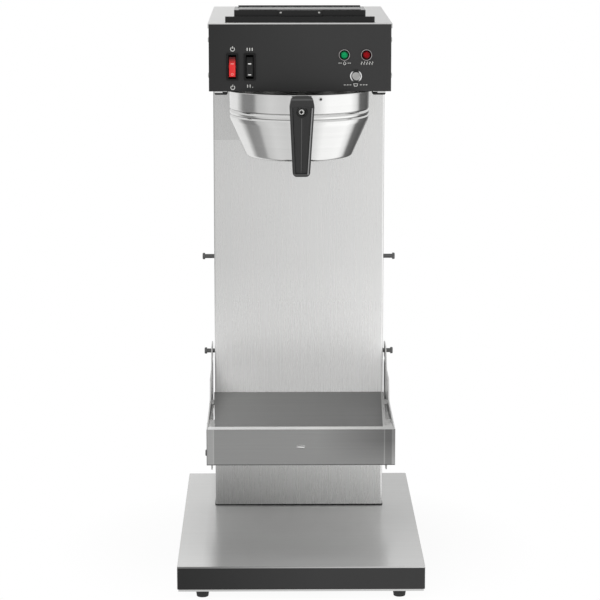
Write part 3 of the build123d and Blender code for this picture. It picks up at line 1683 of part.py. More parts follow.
def terminal_block():
    """Mains terminal block on the inside of the rear cover, with a row of screw wells."""
    rear = rear_y - sheet - seam
    x = (gland_place - block_width / 2, gland_place + block_width / 2)
    z = (block_level - block_height / 2, block_level + block_height / 2)
    body = block(x, (rear - block_depth, rear), z)
    y = (rear - block_depth - 1, rear - block_depth + block_well_depth)
    for i in range(block_wells):
        well_x = x[0] + block_width * (i + 0.5) / block_wells
        for well_z in (block_level - block_height / 4, block_level + block_height / 4):
            body -= rod_y(block_well_radius, well_x, y, well_z)
    return body


def board_corner():
    """Inner front corner of the control board in X and Y."""
    return (head_half - board_side - board_width, head_front_y + board_front)


def control_board():
    """Control board on four posts, with relays, a transformer and a connector."""
    x, y = board_corner()
    z = head_bottom + sheet + board_stand + seam
    board = block((x, x + board_width), (y, y + board_length), (z, z + board_thickness))
    top = z + board_thickness - slip
    for part_x, part_y, height in board_parts:
        board += block((x + part_x[0], x + part_x[1]), (y + part_y[0], y + part_y[1]), (top, top + height))
    inset = board_post_inset
    for post_x in (x + inset, x + board_width - inset):
        for post_y in (y + inset, y + board_length - inset):
            board += rod_z(standoff_radius, post_x, post_y, (z - board_stand, z + slip))
    return board


def main():
    """Build every node and write it."""
    os.makedirs("parts", exist_ok=True)
    write("base_pan", base_pan())
    write("base_fascia", base_fascia())
    write("base_floor", base_floor())
    write("base_stiffeners", base_stiffeners())
    write("base_feet", base_feet())
    write("frame_screws", frame_screws())
    write("frame_nuts", frame_nuts())
    write("column_shell", column_shell())
    write("rear_cover", rear_cover())
    write("rear_screws", rear_screws())
    write("shelf_pins", shelf_pins())
    write("pin_nuts", pin_nuts())
    write("shelf_bracket", shelf_bracket())
    write("shelf_tray", shelf_tray())
    write("shelf_rivets", shelf_rivets())
    write("front_panel", front_panel())
    write("head_frame", head_frame())
    write("panel_screws", panel_screws())
    write("top_cover", top_cover())
    write("brew_funnel", brew_funnel())
    write("filter_rest", filter_rest())
    write("funnel_handle", funnel_handle())
    write("handle_screw", handle_screw())
    write("funnel_rails", funnel_rails())
    write("spray_cup", spray_cup())
    write("spray_head", spray_head())
    write("spray_pipe", spray_pipe())
    write("power_rocker", rocker_lever(rocker_places[0]))
    write("power_switch_body", switch_body(rocker_places[0]))
    write("volume_rocker", rocker_lever(rocker_places[1]))
    write("volume_switch_body", switch_body(rocker_places[1]))
    write("lamp_bezels", lamp_bezels())
    write("filling_lamp", lamp_lens(lamp_places[0]))
    write("heating_lamp", lamp_lens(lamp_places[1]))
    write("panel_nuts", panel_nuts())
    write("brew_button_body", button_body())
    write("brew_button_cap", button_cap())
    write("brew_button_spring", button_spring())
    write("fill_basin", fill_basin())
    write("basin_strainer", basin_strainer())
    write("fill_lid", fill_lid())
    write("lid_grip", lid_grip())
    write("grip_screws", grip_screws())
    write("hinge_pin", hinge_pin())
    write("spill_guard", spill_guard())
    write("water_tank", water_tank())
    write("tank_gasket", tank_gasket())
    write("tank_lid", tank_lid())
    write("tank_screws", tank_screws())
    write("heating_element", heating_element())
    write("level_probe", level_probe())
    write("thermostat", thermostat())
    write("tank_brackets", tank_brackets())
    write("fill_hose", fill_hose())
    write("inlet_valve", inlet_valve())
    write("water_inlet", water_inlet())
    write("valve_tube", valve_tube())
    write("cord_gland", cord_gland())
    write("terminal_block", terminal_block())
    write("control_board", control_board())


main()
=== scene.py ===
import json
import math

import bmesh
import bpy
import numpy as np
from bpy.props import FloatProperty, FloatVectorProperty, IntProperty, PointerProperty
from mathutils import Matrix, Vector


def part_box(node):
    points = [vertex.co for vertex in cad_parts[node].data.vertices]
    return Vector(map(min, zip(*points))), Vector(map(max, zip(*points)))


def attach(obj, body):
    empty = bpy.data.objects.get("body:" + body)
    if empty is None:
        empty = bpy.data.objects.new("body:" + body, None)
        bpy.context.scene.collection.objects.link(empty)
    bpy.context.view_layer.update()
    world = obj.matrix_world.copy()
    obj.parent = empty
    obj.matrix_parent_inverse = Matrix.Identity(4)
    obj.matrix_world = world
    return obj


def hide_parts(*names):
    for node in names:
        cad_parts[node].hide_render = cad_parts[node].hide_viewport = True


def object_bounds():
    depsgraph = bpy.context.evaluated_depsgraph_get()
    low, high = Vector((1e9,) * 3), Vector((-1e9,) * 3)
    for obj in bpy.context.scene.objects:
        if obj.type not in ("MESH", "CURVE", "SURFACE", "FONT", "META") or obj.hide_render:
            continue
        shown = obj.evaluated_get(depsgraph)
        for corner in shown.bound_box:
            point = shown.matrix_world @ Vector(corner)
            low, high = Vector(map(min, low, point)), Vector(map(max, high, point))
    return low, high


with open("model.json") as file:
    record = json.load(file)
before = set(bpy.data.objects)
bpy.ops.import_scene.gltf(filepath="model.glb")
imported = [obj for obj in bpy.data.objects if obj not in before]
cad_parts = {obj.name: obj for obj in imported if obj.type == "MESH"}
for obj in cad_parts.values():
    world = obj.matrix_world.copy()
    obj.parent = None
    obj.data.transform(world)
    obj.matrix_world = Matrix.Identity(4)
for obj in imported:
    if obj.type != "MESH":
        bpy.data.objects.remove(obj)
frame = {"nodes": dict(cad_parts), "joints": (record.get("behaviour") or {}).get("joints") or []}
cad_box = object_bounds()

bl_info = {
    "name": "Airpot Coffee Brewer",
    "version": (1, 0, 0),
    "blender": (4, 5, 0),
    "location": "3D View > Sidebar > Brewer",
    "description": "Finishes, controls, brew funnel and studio for an airpot coffee brewer",
    "category": "Object",
}

MM = 0.001
FULL_TURN = 2 * math.pi
QUARTER_TURN = math.pi / 2


# Shader graph

class Signal:
    """A number in a shader. Python arithmetic on it adds Math nodes."""

    def __init__(self, graph, socket):
        self.graph = graph
        self.socket = socket

    def _with(self, operation, *values):
        node = self.graph.node("ShaderNodeMath", {"operation": operation}, dict(enumerate(values)))
        return Signal(self.graph, node.outputs[0])

    def __add__(self, other):
        return self._with("ADD", self, other)

    def __radd__(self, other):
        return self._with("ADD", other, self)

    def __sub__(self, other):
        return self._with("SUBTRACT", self, other)

    def __rsub__(self, other):
        return self._with("SUBTRACT", other, self)

    def __mul__(self, other):
        return self._with("MULTIPLY", self, other)

    def __rmul__(self, other):
        return self._with("MULTIPLY", other, self)

    def __truediv__(self, other):
        return self._with("DIVIDE", self, other)

    def __gt__(self, other):
        return self._with("GREATER_THAN", self, other)

    def __lt__(self, other):
        return self._with("LESS_THAN", self, other)

    def __abs__(self):
        return self._with("ABSOLUTE", self)


def between(value, low, high):
    """One where a Signal lies between two levels, none elsewhere."""
    return (value > low) * (value < high)


class Graph:
    """The nodes of one material or world, emptied and built again."""

    def __init__(self, owner):
        owner.use_nodes = True
        self.tree = owner.node_tree
        self.tree.nodes.clear()

    def node(self, kind, settings=None, inputs=None):
        """Add a node, set it up, then feed its sockets with values, Signals or sockets."""
        made = self.tree.nodes.new(kind)
        for key, value in (settings or {}).items():
            if key == "stops":
                self._set_stops(made.color_ramp, value)
            else:
                setattr(made, key, value)
        for key, value in (inputs or {}).items():
            if isinstance(value, Signal):
                self.tree.links.new(value.socket, made.inputs[key])
            elif isinstance(value, bpy.types.NodeSocket):
                self.tree.links.new(value, made.inputs[key])
            else:
                made.inputs[key].default_value = value
        return made

    def _set_stops(self, ramp, stops):
        """Put the two first elements at the ends of the ramp, then add the stops between them."""
        ramp.elements[0].position, ramp.elements[0].color = stops[0]
        ramp.elements[1].position, ramp.elements[1].color = stops[-1]
        for place, colour in stops[1:-1]:
            ramp.elements.new(place).color = colour

    def signal(self, kind, output, settings=None, inputs=None):
        """One number output of a new node, as a Signal."""
        return Signal(self, self.node(kind, settings, inputs).outputs[output])

    def place(self, scale=(1, 1, 1)):
        """Object coordinates, stretched for a pattern."""
        source = self.node("ShaderNodeTexCoord")
        inputs = {"Vector": source.outputs["Object"], "Scale": scale}
        return self.node("ShaderNodeMapping", None, inputs).outputs[0]

    def axes(self):
        """Object coordinates as three Signals."""
        split = self.node("ShaderNodeSeparateXYZ", None, {0: self.place()})
        return [Signal(self, output) for output in split.outputs]

    def noise(self, scale, detail=3.0, roughness=0.5):
        """Noise round 0, from -0.5 to 0.5. The scale is one number, or one for each axis."""
        where = self.place(tuple(np.broadcast_to(scale, 3)))
        inputs = {"Vector": where, "Scale": 1.0, "Detail": detail, "Roughness": roughness}
        return self.signal("ShaderNodeTexNoise", "Fac", None, inputs) - 0.5

    def clamp(self, value):
        """A Signal held between 0 and 1."""
        return self.signal("ShaderNodeClamp", 0, None, {0: value})

    def fade(self, value, start, end):
        """From 0 where a Signal is at the start to 1 where it is at the end."""
        return self.clamp((value - start) / (end - start))

    def ramp(self, factor, stops):
        """A grey level that follows a Signal from 0 to 1 through stops of place and level."""
        stops = [(place, (level, level, level, 1.0)) for place, level in stops]
        return self.signal("ShaderNodeValToRGB", 0, {"stops": stops}, {0: factor})

    def by_height(self, levels):
        """A level up to 2 that follows the height, given in millimetres, up to the brewer's top."""
        tall = cad_box[1][2]
        stops = [(height * MM / tall, level / 2) for height, level in levels]
        return self.ramp(self.axes()[2] / tall, stops) * 2.0

    def shift(self, colour, amount):
        """A colour made lighter or darker by a Signal round 1."""
        grey = self.node("ShaderNodeCombineColor", None, {0: amount, 1: amount, 2: amount})
        inputs = {0: 1.0, 6: (*colour, 1.0), 7: grey.outputs[0]}
        return self.node("ShaderNodeMix", {"data_type": "RGBA", "blend_type": "MULTIPLY"}, inputs).outputs[2]

    def blend(self, factor, first, second):
        """A mix of two colours by a Signal. The first is a socket or a colour, the second a colour."""
        first = first if isinstance(first, bpy.types.NodeSocket) else (*first, 1.0)
        inputs = {0: factor, 6: first, 7: (*second, 1.0)}
        return self.node("ShaderNodeMix", {"data_type": "RGBA"}, inputs).outputs[2]

    def bump(self, height, depth, strength):
        """A normal from a height Signal, whose full range stands for a depth in metres."""
        inputs = {"Height": height, "Distance": depth, "Strength": strength}
        return self.node("ShaderNodeBump", None, inputs).outputs[0]

    def mix_shader(self, factor, first, second):
        """A mix of two shader sockets by a Signal, as a socket."""
        return self.node("ShaderNodeMixShader", None, {0: factor, 1: first, 2: second}).outputs[0]

    def light(self, kind, level):
        """An even white emission or background, as a socket."""
        return self.node(kind, None, {"Color": (1, 1, 1, 1), "Strength": level}).outputs[0]

    def surface(self, values):
        """Close the graph with one Principled surface."""
        shader = self.node("ShaderNodeBsdfPrincipled", None, values)
        self.node("ShaderNodeOutputMaterial", None, {0: shader.outputs[0]})


# Finishes

def finish(name):
    """A new material and its graph."""
    material = bpy.data.materials.new(name)
    return material, Graph(material)


def warm(tone):
    """The colour of stainless steel of one tone, a trace less blue than grey."""
    return tone, tone, tone * 0.99


def brushed_steel(name, tone, grain, rough, streak, lean=0.0, shade=None, metal=1.0):
    """Stainless sheet with grain along one axis, faint wide streaks and a slow drift of tone. Lean is
    painted light and shade: the change of tone per metre to the right. Shade is a function of the graph
    that paints light and shade on parts. Metal is a level or such a function: less of it is matt, which
    looks like satin."""
    material, g = finish(name)
    along = [axis == grain for axis in "XYZ"]
    hair = g.noise(np.where(along, 22.0, 2600.0), 4.0, 0.6)
    band = g.noise(np.where(along, 3.0, 420.0), 3.0, 0.55)
    cloud = g.noise(7.0, 2.0)
    level = 1.0 + hair * streak + band * (streak * 0.9) + cloud * 0.08
    # Painted light and shade: the lean and the shade function tone the steel.
    level = level * (1.0 + g.axes()[0] * lean)
    if shade is not None:
        level = level * shade(g)
    g.surface({
        "Base Color": g.shift(warm(tone), level),
        "Metallic": metal(g) if callable(metal) else metal,
        "Roughness": rough + band * 0.12 + hair * 0.10 + cloud * 0.06,
        "Normal": g.bump(hair + band * 0.5, 0.00004, 0.5),
    })
    return material


def spun_steel(name, tone, rough, crease_shadows=()):
    """Polished steel with the fine rings that a spinning lathe leaves, level after level in Z, and a
    painted shadow line along each crease, given by its height in metres."""
    material, g = finish(name)
    ring = g.noise((4.0, 4.0, 2400.0), 4.0, 0.6)
    band = g.noise((3.0, 3.0, 260.0))
    smear = g.noise(26.0, 3.0, 0.55)
    level = 1.0 + ring * 0.08 + band * 0.07
    # Painted shadow: a dark line along each crease.
    for height in crease_shadows:
        away = abs(g.axes()[2] - height)
        level = level * (1.0 - g.fade(away, 0.9 * MM, 0.0) * 0.75)
    g.surface({
        "Base Color": g.shift(warm(tone), level),
        "Metallic": 1.0,
        "Roughness": rough + ring * 0.08 + smear * 0.08,
        "Normal": g.bump(ring + band * 0.6, 0.00003, 0.6),
    })
    return material


def bright_metal(name, colour, rough):
    """Turned or plated metal with fine scratches and a faint mottle."""
    material, g = finish(name)
    scratch = g.noise(900.0, 5.0, 0.7)
    mottle = g.noise(160.0)
    g.surface({
        "Base Color": g.shift(colour, 1.0 + mottle * 0.10),
        "Metallic": 1.0,
        "Roughness": rough + scratch * 0.10 + mottle * 0.10,
        "Normal": g.bump(scratch, 0.00002, 0.4),
    })
    return material


def turned_chrome(name, tone, centre, radius):
    """Plated ring with a turned face, with painted highlights to its left and right and painted shade above
    and below.
    """
    material, g = finish(name)
    sideways = (g.axes()[0] - centre) / radius
    # Painted highlight and shade: bright far to the left and right of the middle, dark near it.
    glint = g.ramp(sideways * sideways, [(0.0, 0.05), (0.16, 0.10), (0.38, 0.95), (1.0, 1.0)])
    scratch = g.noise(900.0, 5.0, 0.7)
    g.surface({
        "Base Color": g.shift((tone, tone, tone), glint),
        "Metallic": 1.0,
        "Roughness": 0.16 + scratch * 0.08,
        "Normal": g.bump(scratch, 0.00002, 0.4),
    })
    return material


def powder_coat(name, colour):
    """Baked powder paint: an orange peel texture with slight changes of sheen, and painted shade that makes
    it darker to the left.
    """
    material, g = finish(name)
    # Painted shade: darker to the left.
    drift = g.fade(g.axes()[0], -0.18, 0.02) * 1.05 + 0.1
    peel = g.noise(1500.0, 3.0, 0.55)
    grit = g.noise(4200.0, 2.0)
    cloud = g.noise(11.0)
    g.surface({
        "Base Color": g.shift(colour, (1.0 + cloud * 0.22 + grit * 0.20) * drift),
        "Roughness": 0.46 + cloud * 0.10 + peel * 0.08,
        "Normal": g.bump(peel + grit * 0.4, 0.00004, 0.45),
    })
    return material


def moulded_plastic(name, colour, rough, texture=0.35, coat=0.0, shine=0.5, shade_from=None):
    """Injection moulded plastic with a soft sheen, fine sparkle and faint flow marks. Where a height is
    given, painted shade darkens it upwards over 7 mm from there."""
    material, g = finish(name)
    pebble = g.noise(2600.0, 2.0)
    flow = g.noise((60.0, 60.0, 22.0))
    level = 1.0 + flow * 0.20 + pebble * 0.10
    # Painted shade towards the upper end.
    if shade_from is not None:
        level = level * (1.0 - g.fade(g.axes()[2], shade_from, shade_from + 7.0 * MM) * 0.9)
    g.surface({
        "Base Color": g.shift(colour, level),
        "Roughness": rough + flow * 0.10 + pebble * 0.06,
        "Coat Weight": coat,
        "Specular IOR Level": shine,
        "Normal": g.bump(pebble, 0.00003, texture),
    })
    return material


def clear_lens(name, colour, glow, centre, radius):
    """Coloured lamp lens: a lit core, darker towards its rim, with moulded facets."""
    material, g = finish(name)
    x, _, z = g.axes()
    across = (x - centre[0]) / radius
    up = (z - centre[2]) / radius
    core = 1.0 - (across * across + up * up)
    cells = {"Vector": g.place(), "Scale": 620.0}
    facet = g.signal("ShaderNodeTexVoronoi", "Distance", {"feature": "F1"}, cells)
    dark = tuple(c * 0.10 for c in colour)
    body = g.blend(core * 0.9 - 0.1 + (facet - 0.35) * 0.9, dark, colour)
    g.surface({
        "Base Color": body,
        "Roughness": 0.12 + (facet - 0.3) * 0.06,
        "Coat Weight": 0.03,
        "Specular IOR Level": 0.12,
        "Emission Color": body,
        "Emission Strength": glow,
        "Normal": g.bump(facet, 0.0003, 0.35),
    })
    return material


def rubber(name, colour):
    """Moulded rubber with a dusty bloom."""
    material, g = finish(name)
    bloom = g.noise(240.0, 4.0, 0.6)
    grain = g.noise(3000.0, 2.0)
    g.surface({
        "Base Color": g.shift(colour, 1.075 + bloom * 0.45),
        "Roughness": 0.66 + bloom * 0.16,
        "Normal": g.bump(grain, 0.00005, 0.5),
    })
    return material


def board_finish(name):
    """Green circuit board whose tall parts are black."""
    material, g = finish(name)
    board_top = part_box("control_board")[0].z + 8.4 * MM
    trace = g.noise((500.0, 90.0, 10.0), 2.0)
    green = g.shift((0.03, 0.22, 0.08), 1.0 + trace * 0.4)
    g.surface({
        "Base Color": g.blend(g.axes()[2] > board_top, green, (0.02, 0.02, 0.022)),
        "Roughness": 0.4 + trace * 0.2,
        "Normal": g.bump(trace, 0.00005, 0.4),
    })
    return material


def ink(name, colour):
    """Screen printed ink, slightly uneven."""
    material, g = finish(name)
    patch = g.noise(900.0, 3.0, 0.6)
    g.surface({
        "Base Color": g.shift(colour, 0.99 + patch * 0.14),
        "Roughness": 0.5 + patch * 0.1,
    })
    return material


# Surfaces

def unit(vectors):
    """The same vectors with a length of 1."""
    return vectors / np.linalg.norm(vectors, axis=-1, keepdims=True)


def rounded(corners, radii, steps=6):
    """A polyline whose corners are arcs. Each arc touches both runs at radius / tan(half the corner angle),
    and its points are (sin((1 - s) w) start + sin(s w) end) / sin(w) for a sweep w and s from 0 to 1."""
    corners = np.array(corners, float)
    points = [corners[0]]
    for before, here, after, radius in zip(corners[:-2], corners[1:-1], corners[2:], radii):
        to_before = unit(before - here)
        to_after = unit(after - here)
        half = np.arccos(np.clip(to_before @ to_after, -1, 1)) / 2
        if radius <= 0 or half > QUARTER_TURN - 1e-4:
            points.append(here)
            continue
        reach = radius / math.tan(half)
        centre = here + unit(to_before + to_after) * radius / math.sin(half)
        start = here + to_before * reach - centre
        end = here + to_after * reach - centre
        sweep = math.acos(np.clip(start @ end / radius ** 2, -1, 1))
        share = np.linspace(0, 1, steps + 1)[:, None]
        turned = np.sin((1 - share) * sweep) * start + np.sin(share * sweep) * end
        points.extend(centre + turned / math.sin(sweep))
    points.append(corners[-1])
    return np.array(points)


def rounded_loop(corners, radii, steps=6):
    """A closed outline from its first corner, which stays sharp, with the other corners as arcs."""
    return rounded([*corners, corners[0]], radii, steps)[:-1]


def arc(centre, radius, start, end, steps=24):
    """Points on an arc in X and Z, with angles in degrees from the right, turning upwards."""
    a = np.radians(np.linspace(start, end, steps))
    return np.stack([centre[0] + radius * np.cos(a), centre[1] + radius * np.sin(a)], 1)


def spread(line, count):
    """The same line with points evenly spaced by length, its corners kept close."""
    lengths = np.linalg.norm(np.diff(line, axis=0), axis=1)
    along = np.concatenate([[0], np.cumsum(lengths)])
    where = np.linspace(0, along[-1], count)
    return np.stack([np.interp(where, along, line[:, i]) for i in range(line.shape[1])], 1)


def outward(line, closed=False):
    """Unit normals of a line of two coordinates, to the right of its run."""
    run = np.roll(line, -1, 0) - np.roll(line, 1, 0) if closed else np.gradient(line, axis=0)
    run = unit(run)
    return np.stack([run[:, 1], -run[:, 0]], 1)


def step(value, start, width):
    """A smooth step from 0 to 1: 3 t^2 - 2 t^3, with t running from 0 to 1 over the width."""
    t = np.clip((value - start) / width, 0, 1)
    return t * t * (3 - 2 * t)


def bulge(distance, radius):
    """How far a rounded edge falls back at a distance inside its outline: r - sqrt(r^2 - (r - d)^2)."""
    gap = np.clip(radius - distance, 0, radius)
    return radius - np.sqrt(radius ** 2 - gap ** 2)


class Skin:
    """Grids of points in millimetres, joined into one mesh."""

    def __init__(self):
        self.points = []
        self.faces = []
        self.count = 0

    def grid(self, points, ring=False):
        """Add quads that join each points[i, j] to its next in i and j. Each row of points is a closed
        loop, and with ring the last row joins the first."""
        rows, columns = points.shape[:2]
        index = np.arange(rows * columns).reshape(rows, columns) + self.count
        index = np.concatenate([index, index[:, :1]], 1)
        if ring:
            index = np.concatenate([index, index[:1]], 0)
        quads = np.stack([index[:-1, :-1], index[1:, :-1], index[1:, 1:], index[:-1, 1:]], -1)
        self.points.append(points.reshape(-1, 3))
        self.faces.extend(quads.reshape(-1, 4).tolist())
        self.count += rows * columns
        return self

    def cap(self, points):
        """Close an end with one flat face."""
        self.points.append(points)
        self.faces.append(list(range(self.count, self.count + len(points))))
        self.count += len(points)
        return self

    def tube(self, points):
        """Add a closed skin through rows of points, with a flat face at each end."""
        return self.grid(points).cap(points[0]).cap(points[-1])

    def mesh(self, name, material):
        """The mesh in metres, with doubled points merged, faces without area dropped and every face
        pointing outwards."""
        mesh = bpy.data.meshes.new(name)
        mesh.from_pydata(np.concatenate(self.points) * MM, [], self.faces)
        work = bmesh.new()
        work.from_mesh(mesh)
        bmesh.ops.remove_doubles(work, verts=work.verts, dist=1e-7)
        bmesh.ops.dissolve_degenerate(work, edges=work.edges, dist=1e-8)
        bmesh.ops.recalc_face_normals(work, faces=work.faces)
        work.to_mesh(mesh)
        work.free()
        mesh.materials.append(material)
        return mesh

    def make(self, name, material, body, slot, replaced=(), sharp=35.0):
        """The finished piece, riding on its body, with smooth faces up to the sharp angle in degrees."""
        mesh = self.mesh(name, material)
        mesh.polygons.foreach_set("use_smooth", np.ones(len(mesh.polygons), bool))
        mesh.set_sharp_from_angle(angle=math.radians(sharp))
        piece = bpy.data.objects.new(name, mesh)
        bpy.context.scene.collection.objects.link(piece)
        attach(piece, body)
        if replaced:
            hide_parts(*replaced)


def axes_for(direction):
    """Two unit vectors square to a direction, and the direction itself."""
    direction = np.array(direction, float)
    helper = np.array([0.0, 0.0, 1.0]) if abs(direction[2]) < 0.9 else np.array([1.0, 0.0, 0.0])
    side = unit(np.cross(helper, direction))
    return side, np.cross(direction, side), direction


def lathe(profile, centre, direction=(0, 0, 1), segments=64):
    """Point (i, j) is centre + r_i (cos a_j side + sin a_j up) + h_i direction, from (r, h) pairs."""
    side, up, along = axes_for(direction)
    angle = np.linspace(0, FULL_TURN, segments, endpoint=False)
    ring = np.cos(angle)[:, None] * side + np.sin(angle)[:, None] * up
    profile = np.array(profile, float)
    return np.array(centre) + profile[:, 0, None, None] * ring + profile[:, 1, None, None] * along


def turned_about(points, centre, angle):
    """Points turned round an upright axis through a centre, by an angle in radians."""
    moved = points - np.array([centre[0], centre[1], 0.0])
    x = moved[..., 0] * math.cos(angle) - moved[..., 1] * math.sin(angle)
    y = moved[..., 0] * math.sin(angle) + moved[..., 1] * math.cos(angle)
    return np.stack([x + centre[0], y + centre[1], moved[..., 2]], -1)


def bar_along_x(places, section):
    """A bar whose cross-section, in Y and Z, stands at each place in X."""
    return np.stack([np.column_stack([np.full(len(section), x), section]) for x in places])


def stroke(skin, path, width, face, closed=False):
    """A printed stroke: a flat band of even width along a path in X and Z, whose front stands at y = face."""
    depth = 0.35
    path = np.array(path, float)
    side = outward(path, closed) * width / 2
    corners = []
    for offset, y in ((side, face), (-side, face), (-side, face + depth), (side, face + depth)):
        flat = path + offset
        corners.append(np.stack([flat[:, 0], np.full(len(flat), y), flat[:, 1]], 1))
    band = np.stack(corners, 1)
    if closed:
        skin.grid(band, True)
    else:
        skin.tube(band)


# Places taken from the frame

def span(node):
    """Lowest and highest corner of a CAD node in millimetres."""
    low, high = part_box(node)
    return np.array(low) / MM, np.array(high) / MM


def front_of(low, high):
    """The middle of a box's front face."""
    return np.array([(low[0] + high[0]) / 2, low[1], (low[2] + high[2]) / 2])


def funnel_axis():
    """Where the brew funnel's upright axis meets the ground, in millimetres."""
    low, high = span("brew_funnel")
    return np.array([(low[0] + high[0]) / 2, (low[1] + high[1]) / 2, 0.0])


def node_points(node):
    """The points of a CAD node in millimetres."""
    mesh = frame["nodes"][node].data
    points = np.empty(len(mesh.vertices) * 3)
    mesh.vertices.foreach_get("co", points)
    return points.reshape(-1, 3) / MM


def solids(node):
    """Boxes in millimetres of the separate solids of a CAD node, found by spreading the least
    point number over joined triangles until nothing changes."""
    mesh = frame["nodes"][node].data
    points = node_points(node)
    mesh.calc_loop_triangles()
    corners = np.empty(len(mesh.loop_triangles) * 3, int)
    mesh.loop_triangles.foreach_get("vertices", corners)
    same = np.unique(np.round(points, 3), axis=0, return_inverse=True)[1].reshape(-1)
    triangles = same[corners].reshape(-1, 3)
    label = np.arange(same.max() + 1)
    while True:
        least = label[triangles].min(1)
        spread_label = label.copy()
        np.minimum.at(spread_label, triangles.reshape(-1), np.repeat(least, 3))
        if (spread_label == label).all():
            break
        label = spread_label
    owner = label[same]
    return [(points[owner == k].min(0), points[owner == k].max(0)) for k in np.unique(owner)]


def joint_pivot(name):
    """Pivot of a joint in millimetres."""
    joint = next(j for j in frame["joints"] if j["name"] == name)
    return np.array(joint["pos_m"]) / MM


# Sizes and colours that a user may change

class BrewerFinishes(bpy.types.PropertyGroup):
    """Tones of the brewer's surfaces."""
    steel: FloatProperty(
        name="Steel", description="Tone of the brushed steel", default=0.82, min=0.0, max=1.0)
    tray: FloatProperty(
        name="Tray", description="Tone of the shelf's steel", default=0.36, min=0.0, max=1.0)
    polished: FloatProperty(
        name="Polished steel", description="Tone of the brew funnel", default=0.82, min=0.0, max=1.0)
    paint: FloatVectorProperty(
        name="Paint", description="Powder coat of the panel and the base strip", subtype="COLOR",
        default=(0.020, 0.020, 0.020), min=0.0, max=1.0)
    plastic: FloatVectorProperty(
        name="Plastic", description="Black moulded plastic", subtype="COLOR",
        default=(0.012, 0.012, 0.012), min=0.0, max=1.0)
    power: FloatVectorProperty(
        name="Power rocker", description="Red moulded plastic", subtype="COLOR",
        default=(0.70, 0.025, 0.025), min=0.0, max=1.0)
    filling: FloatVectorProperty(
        name="Filling lamp", description="Green lens", subtype="COLOR",
        default=(0.001, 0.31, 0.10), min=0.0, max=1.0)
    heating: FloatVectorProperty(
        name="Heating lamp", description="Red lens", subtype="COLOR",
        default=(0.27, 0.0005, 0.004), min=0.0, max=1.0)


class BrewerFunnel(bpy.types.PropertyGroup):
    """Sizes of the brew funnel and its handle."""
    wall: FloatProperty(
        name="Wall", description="Thickness of the funnel's sheet", default=1.0 * MM, unit="LENGTH")
    radius: FloatProperty(
        name="Radius", description="Radius of the funnel's upright side", default=90.5 * MM, unit="LENGTH")
    shoulder_radius: FloatProperty(
        name="Shoulder radius", description="Radius where the side turns into the cone", default=89.9 * MM,
        unit="LENGTH")
    shoulder_drop: FloatProperty(
        name="Shoulder drop", description="Depth of the shoulder under the rim", default=38.0 * MM,
        unit="LENGTH")
    floor_radius: FloatProperty(
        name="Floor radius", description="Radius of the cone at the floor", default=68.3 * MM, unit="LENGTH")
    depth: FloatProperty(
        name="Depth", description="Depth of the floor under the rim", default=87.7 * MM, unit="LENGTH")
    groove: FloatProperty(
        name="Groove", description="Depth of the pressed grooves", default=1.1 * MM, unit="LENGTH")
    groove_drop: FloatProperty(
        name="Groove drop", description="Depth of the upper groove under the rim", default=25.8 * MM,
        unit="LENGTH")
    groove_pitch: FloatProperty(
        name="Groove pitch", description="Distance between the grooves", default=7.0 * MM, unit="LENGTH")
    turn: FloatProperty(
        name="Turn", description="Turn of the funnel in its rails", default=math.radians(0.9),
        subtype="ANGLE")
    handle_top: FloatProperty(
        name="Handle top", description="Width of the handle at its top", default=32.8 * MM, unit="LENGTH")
    handle_foot: FloatProperty(
        name="Handle foot", description="Width of the handle at its foot", default=21.5 * MM, unit="LENGTH")
    handle_border: FloatProperty(
        name="Handle border", description="Width of the handle's raised border", default=3.4 * MM,
        unit="LENGTH")
    handle_sink: FloatProperty(
        name="Handle sink", description="Depth of the handle's sunk face", default=2.2 * MM, unit="LENGTH")
    segments: IntProperty(
        name="Segments", description="Facets round the funnel", default=192, min=32, max=512)


class BrewerStage(bpy.types.PropertyGroup):
    """Camera, lights and floor."""
    camera_place: FloatVectorProperty(
        name="Camera", description="Place of the camera", subtype="TRANSLATION", unit="LENGTH",
        default=(-0.0326, -3.1476, 0.9289))
    pitch: FloatProperty(
        name="Pitch", description="Downward tilt of the camera", default=0.1853, subtype="ANGLE")
    yaw: FloatProperty(
        name="Yaw", description="Turn of the camera to the right", default=0.0107, subtype="ANGLE")
    lens: FloatProperty(name="Lens", description="Focal length in millimetres", default=144.0)
    room: FloatProperty(name="Room", description="Level of the room's light", default=0.62)
    tent: FloatProperty(name="Tent", description="Level of the room in reflections", default=0.76)
    top: FloatProperty(
        name="Top light", description="Power of the light overhead", default=11.0, unit="POWER")
    front: FloatProperty(
        name="Front light", description="Power of the light at the front", default=48.0, unit="POWER")


# Operators

def dress(nodes, material):
    """Give CAD nodes one finish."""
    for name in nodes:
        node = frame["nodes"][name]
        node.data.materials.clear()
        node.data.materials.append(material)


def column_front(g):
    """One on the front face of the column, none on its sides."""
    return g.axes()[1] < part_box("column_shell")[0].y + 3.5 * MM


def column_shade(g):
    """Painted light and shade on the front: brighter just over the shelf and darker under it down to
    the base, most at the left. At the left there is also painted shadow beside the funnel and painted
    light close over the tray. The sides keep one tone."""
    x, _, z = g.axes()
    front = column_front(g)
    # Painted light and shade: bands by height, shade under the shelf, shadow beside the funnel, light over
    # the tray.
    bands = g.by_height([
        (40, 0.71), (70, 0.80), (105, 0.91), (125, 0.95), (200, 1.18), (260, 1.16), (320, 1.05), (420, 1.01),
    ])
    painted_shelf_shade = 1.0 + x * 2.6 * g.fade(z, 0.13, 0.04)
    painted_funnel_shadow = (z > 0.548) * g.fade(x, -0.03, -0.08) * 0.12
    painted_tray_light = (z > 0.19) * g.fade(z, 0.26, 0.22) * g.fade(x, -0.04, -0.10) * 0.14
    return bands * painted_shelf_shade * (1.0 - painted_funnel_shadow + painted_tray_light) * front + 1.0 - front


def column_gloss(g):
    """Satin on the front just over the shelf, plain metal elsewhere."""
    front = column_front(g)
    return g.by_height([(120, 1.0), (190, 0.15), (230, 0.20), (290, 0.55), (380, 1.0)]) * front + 1.0 - front


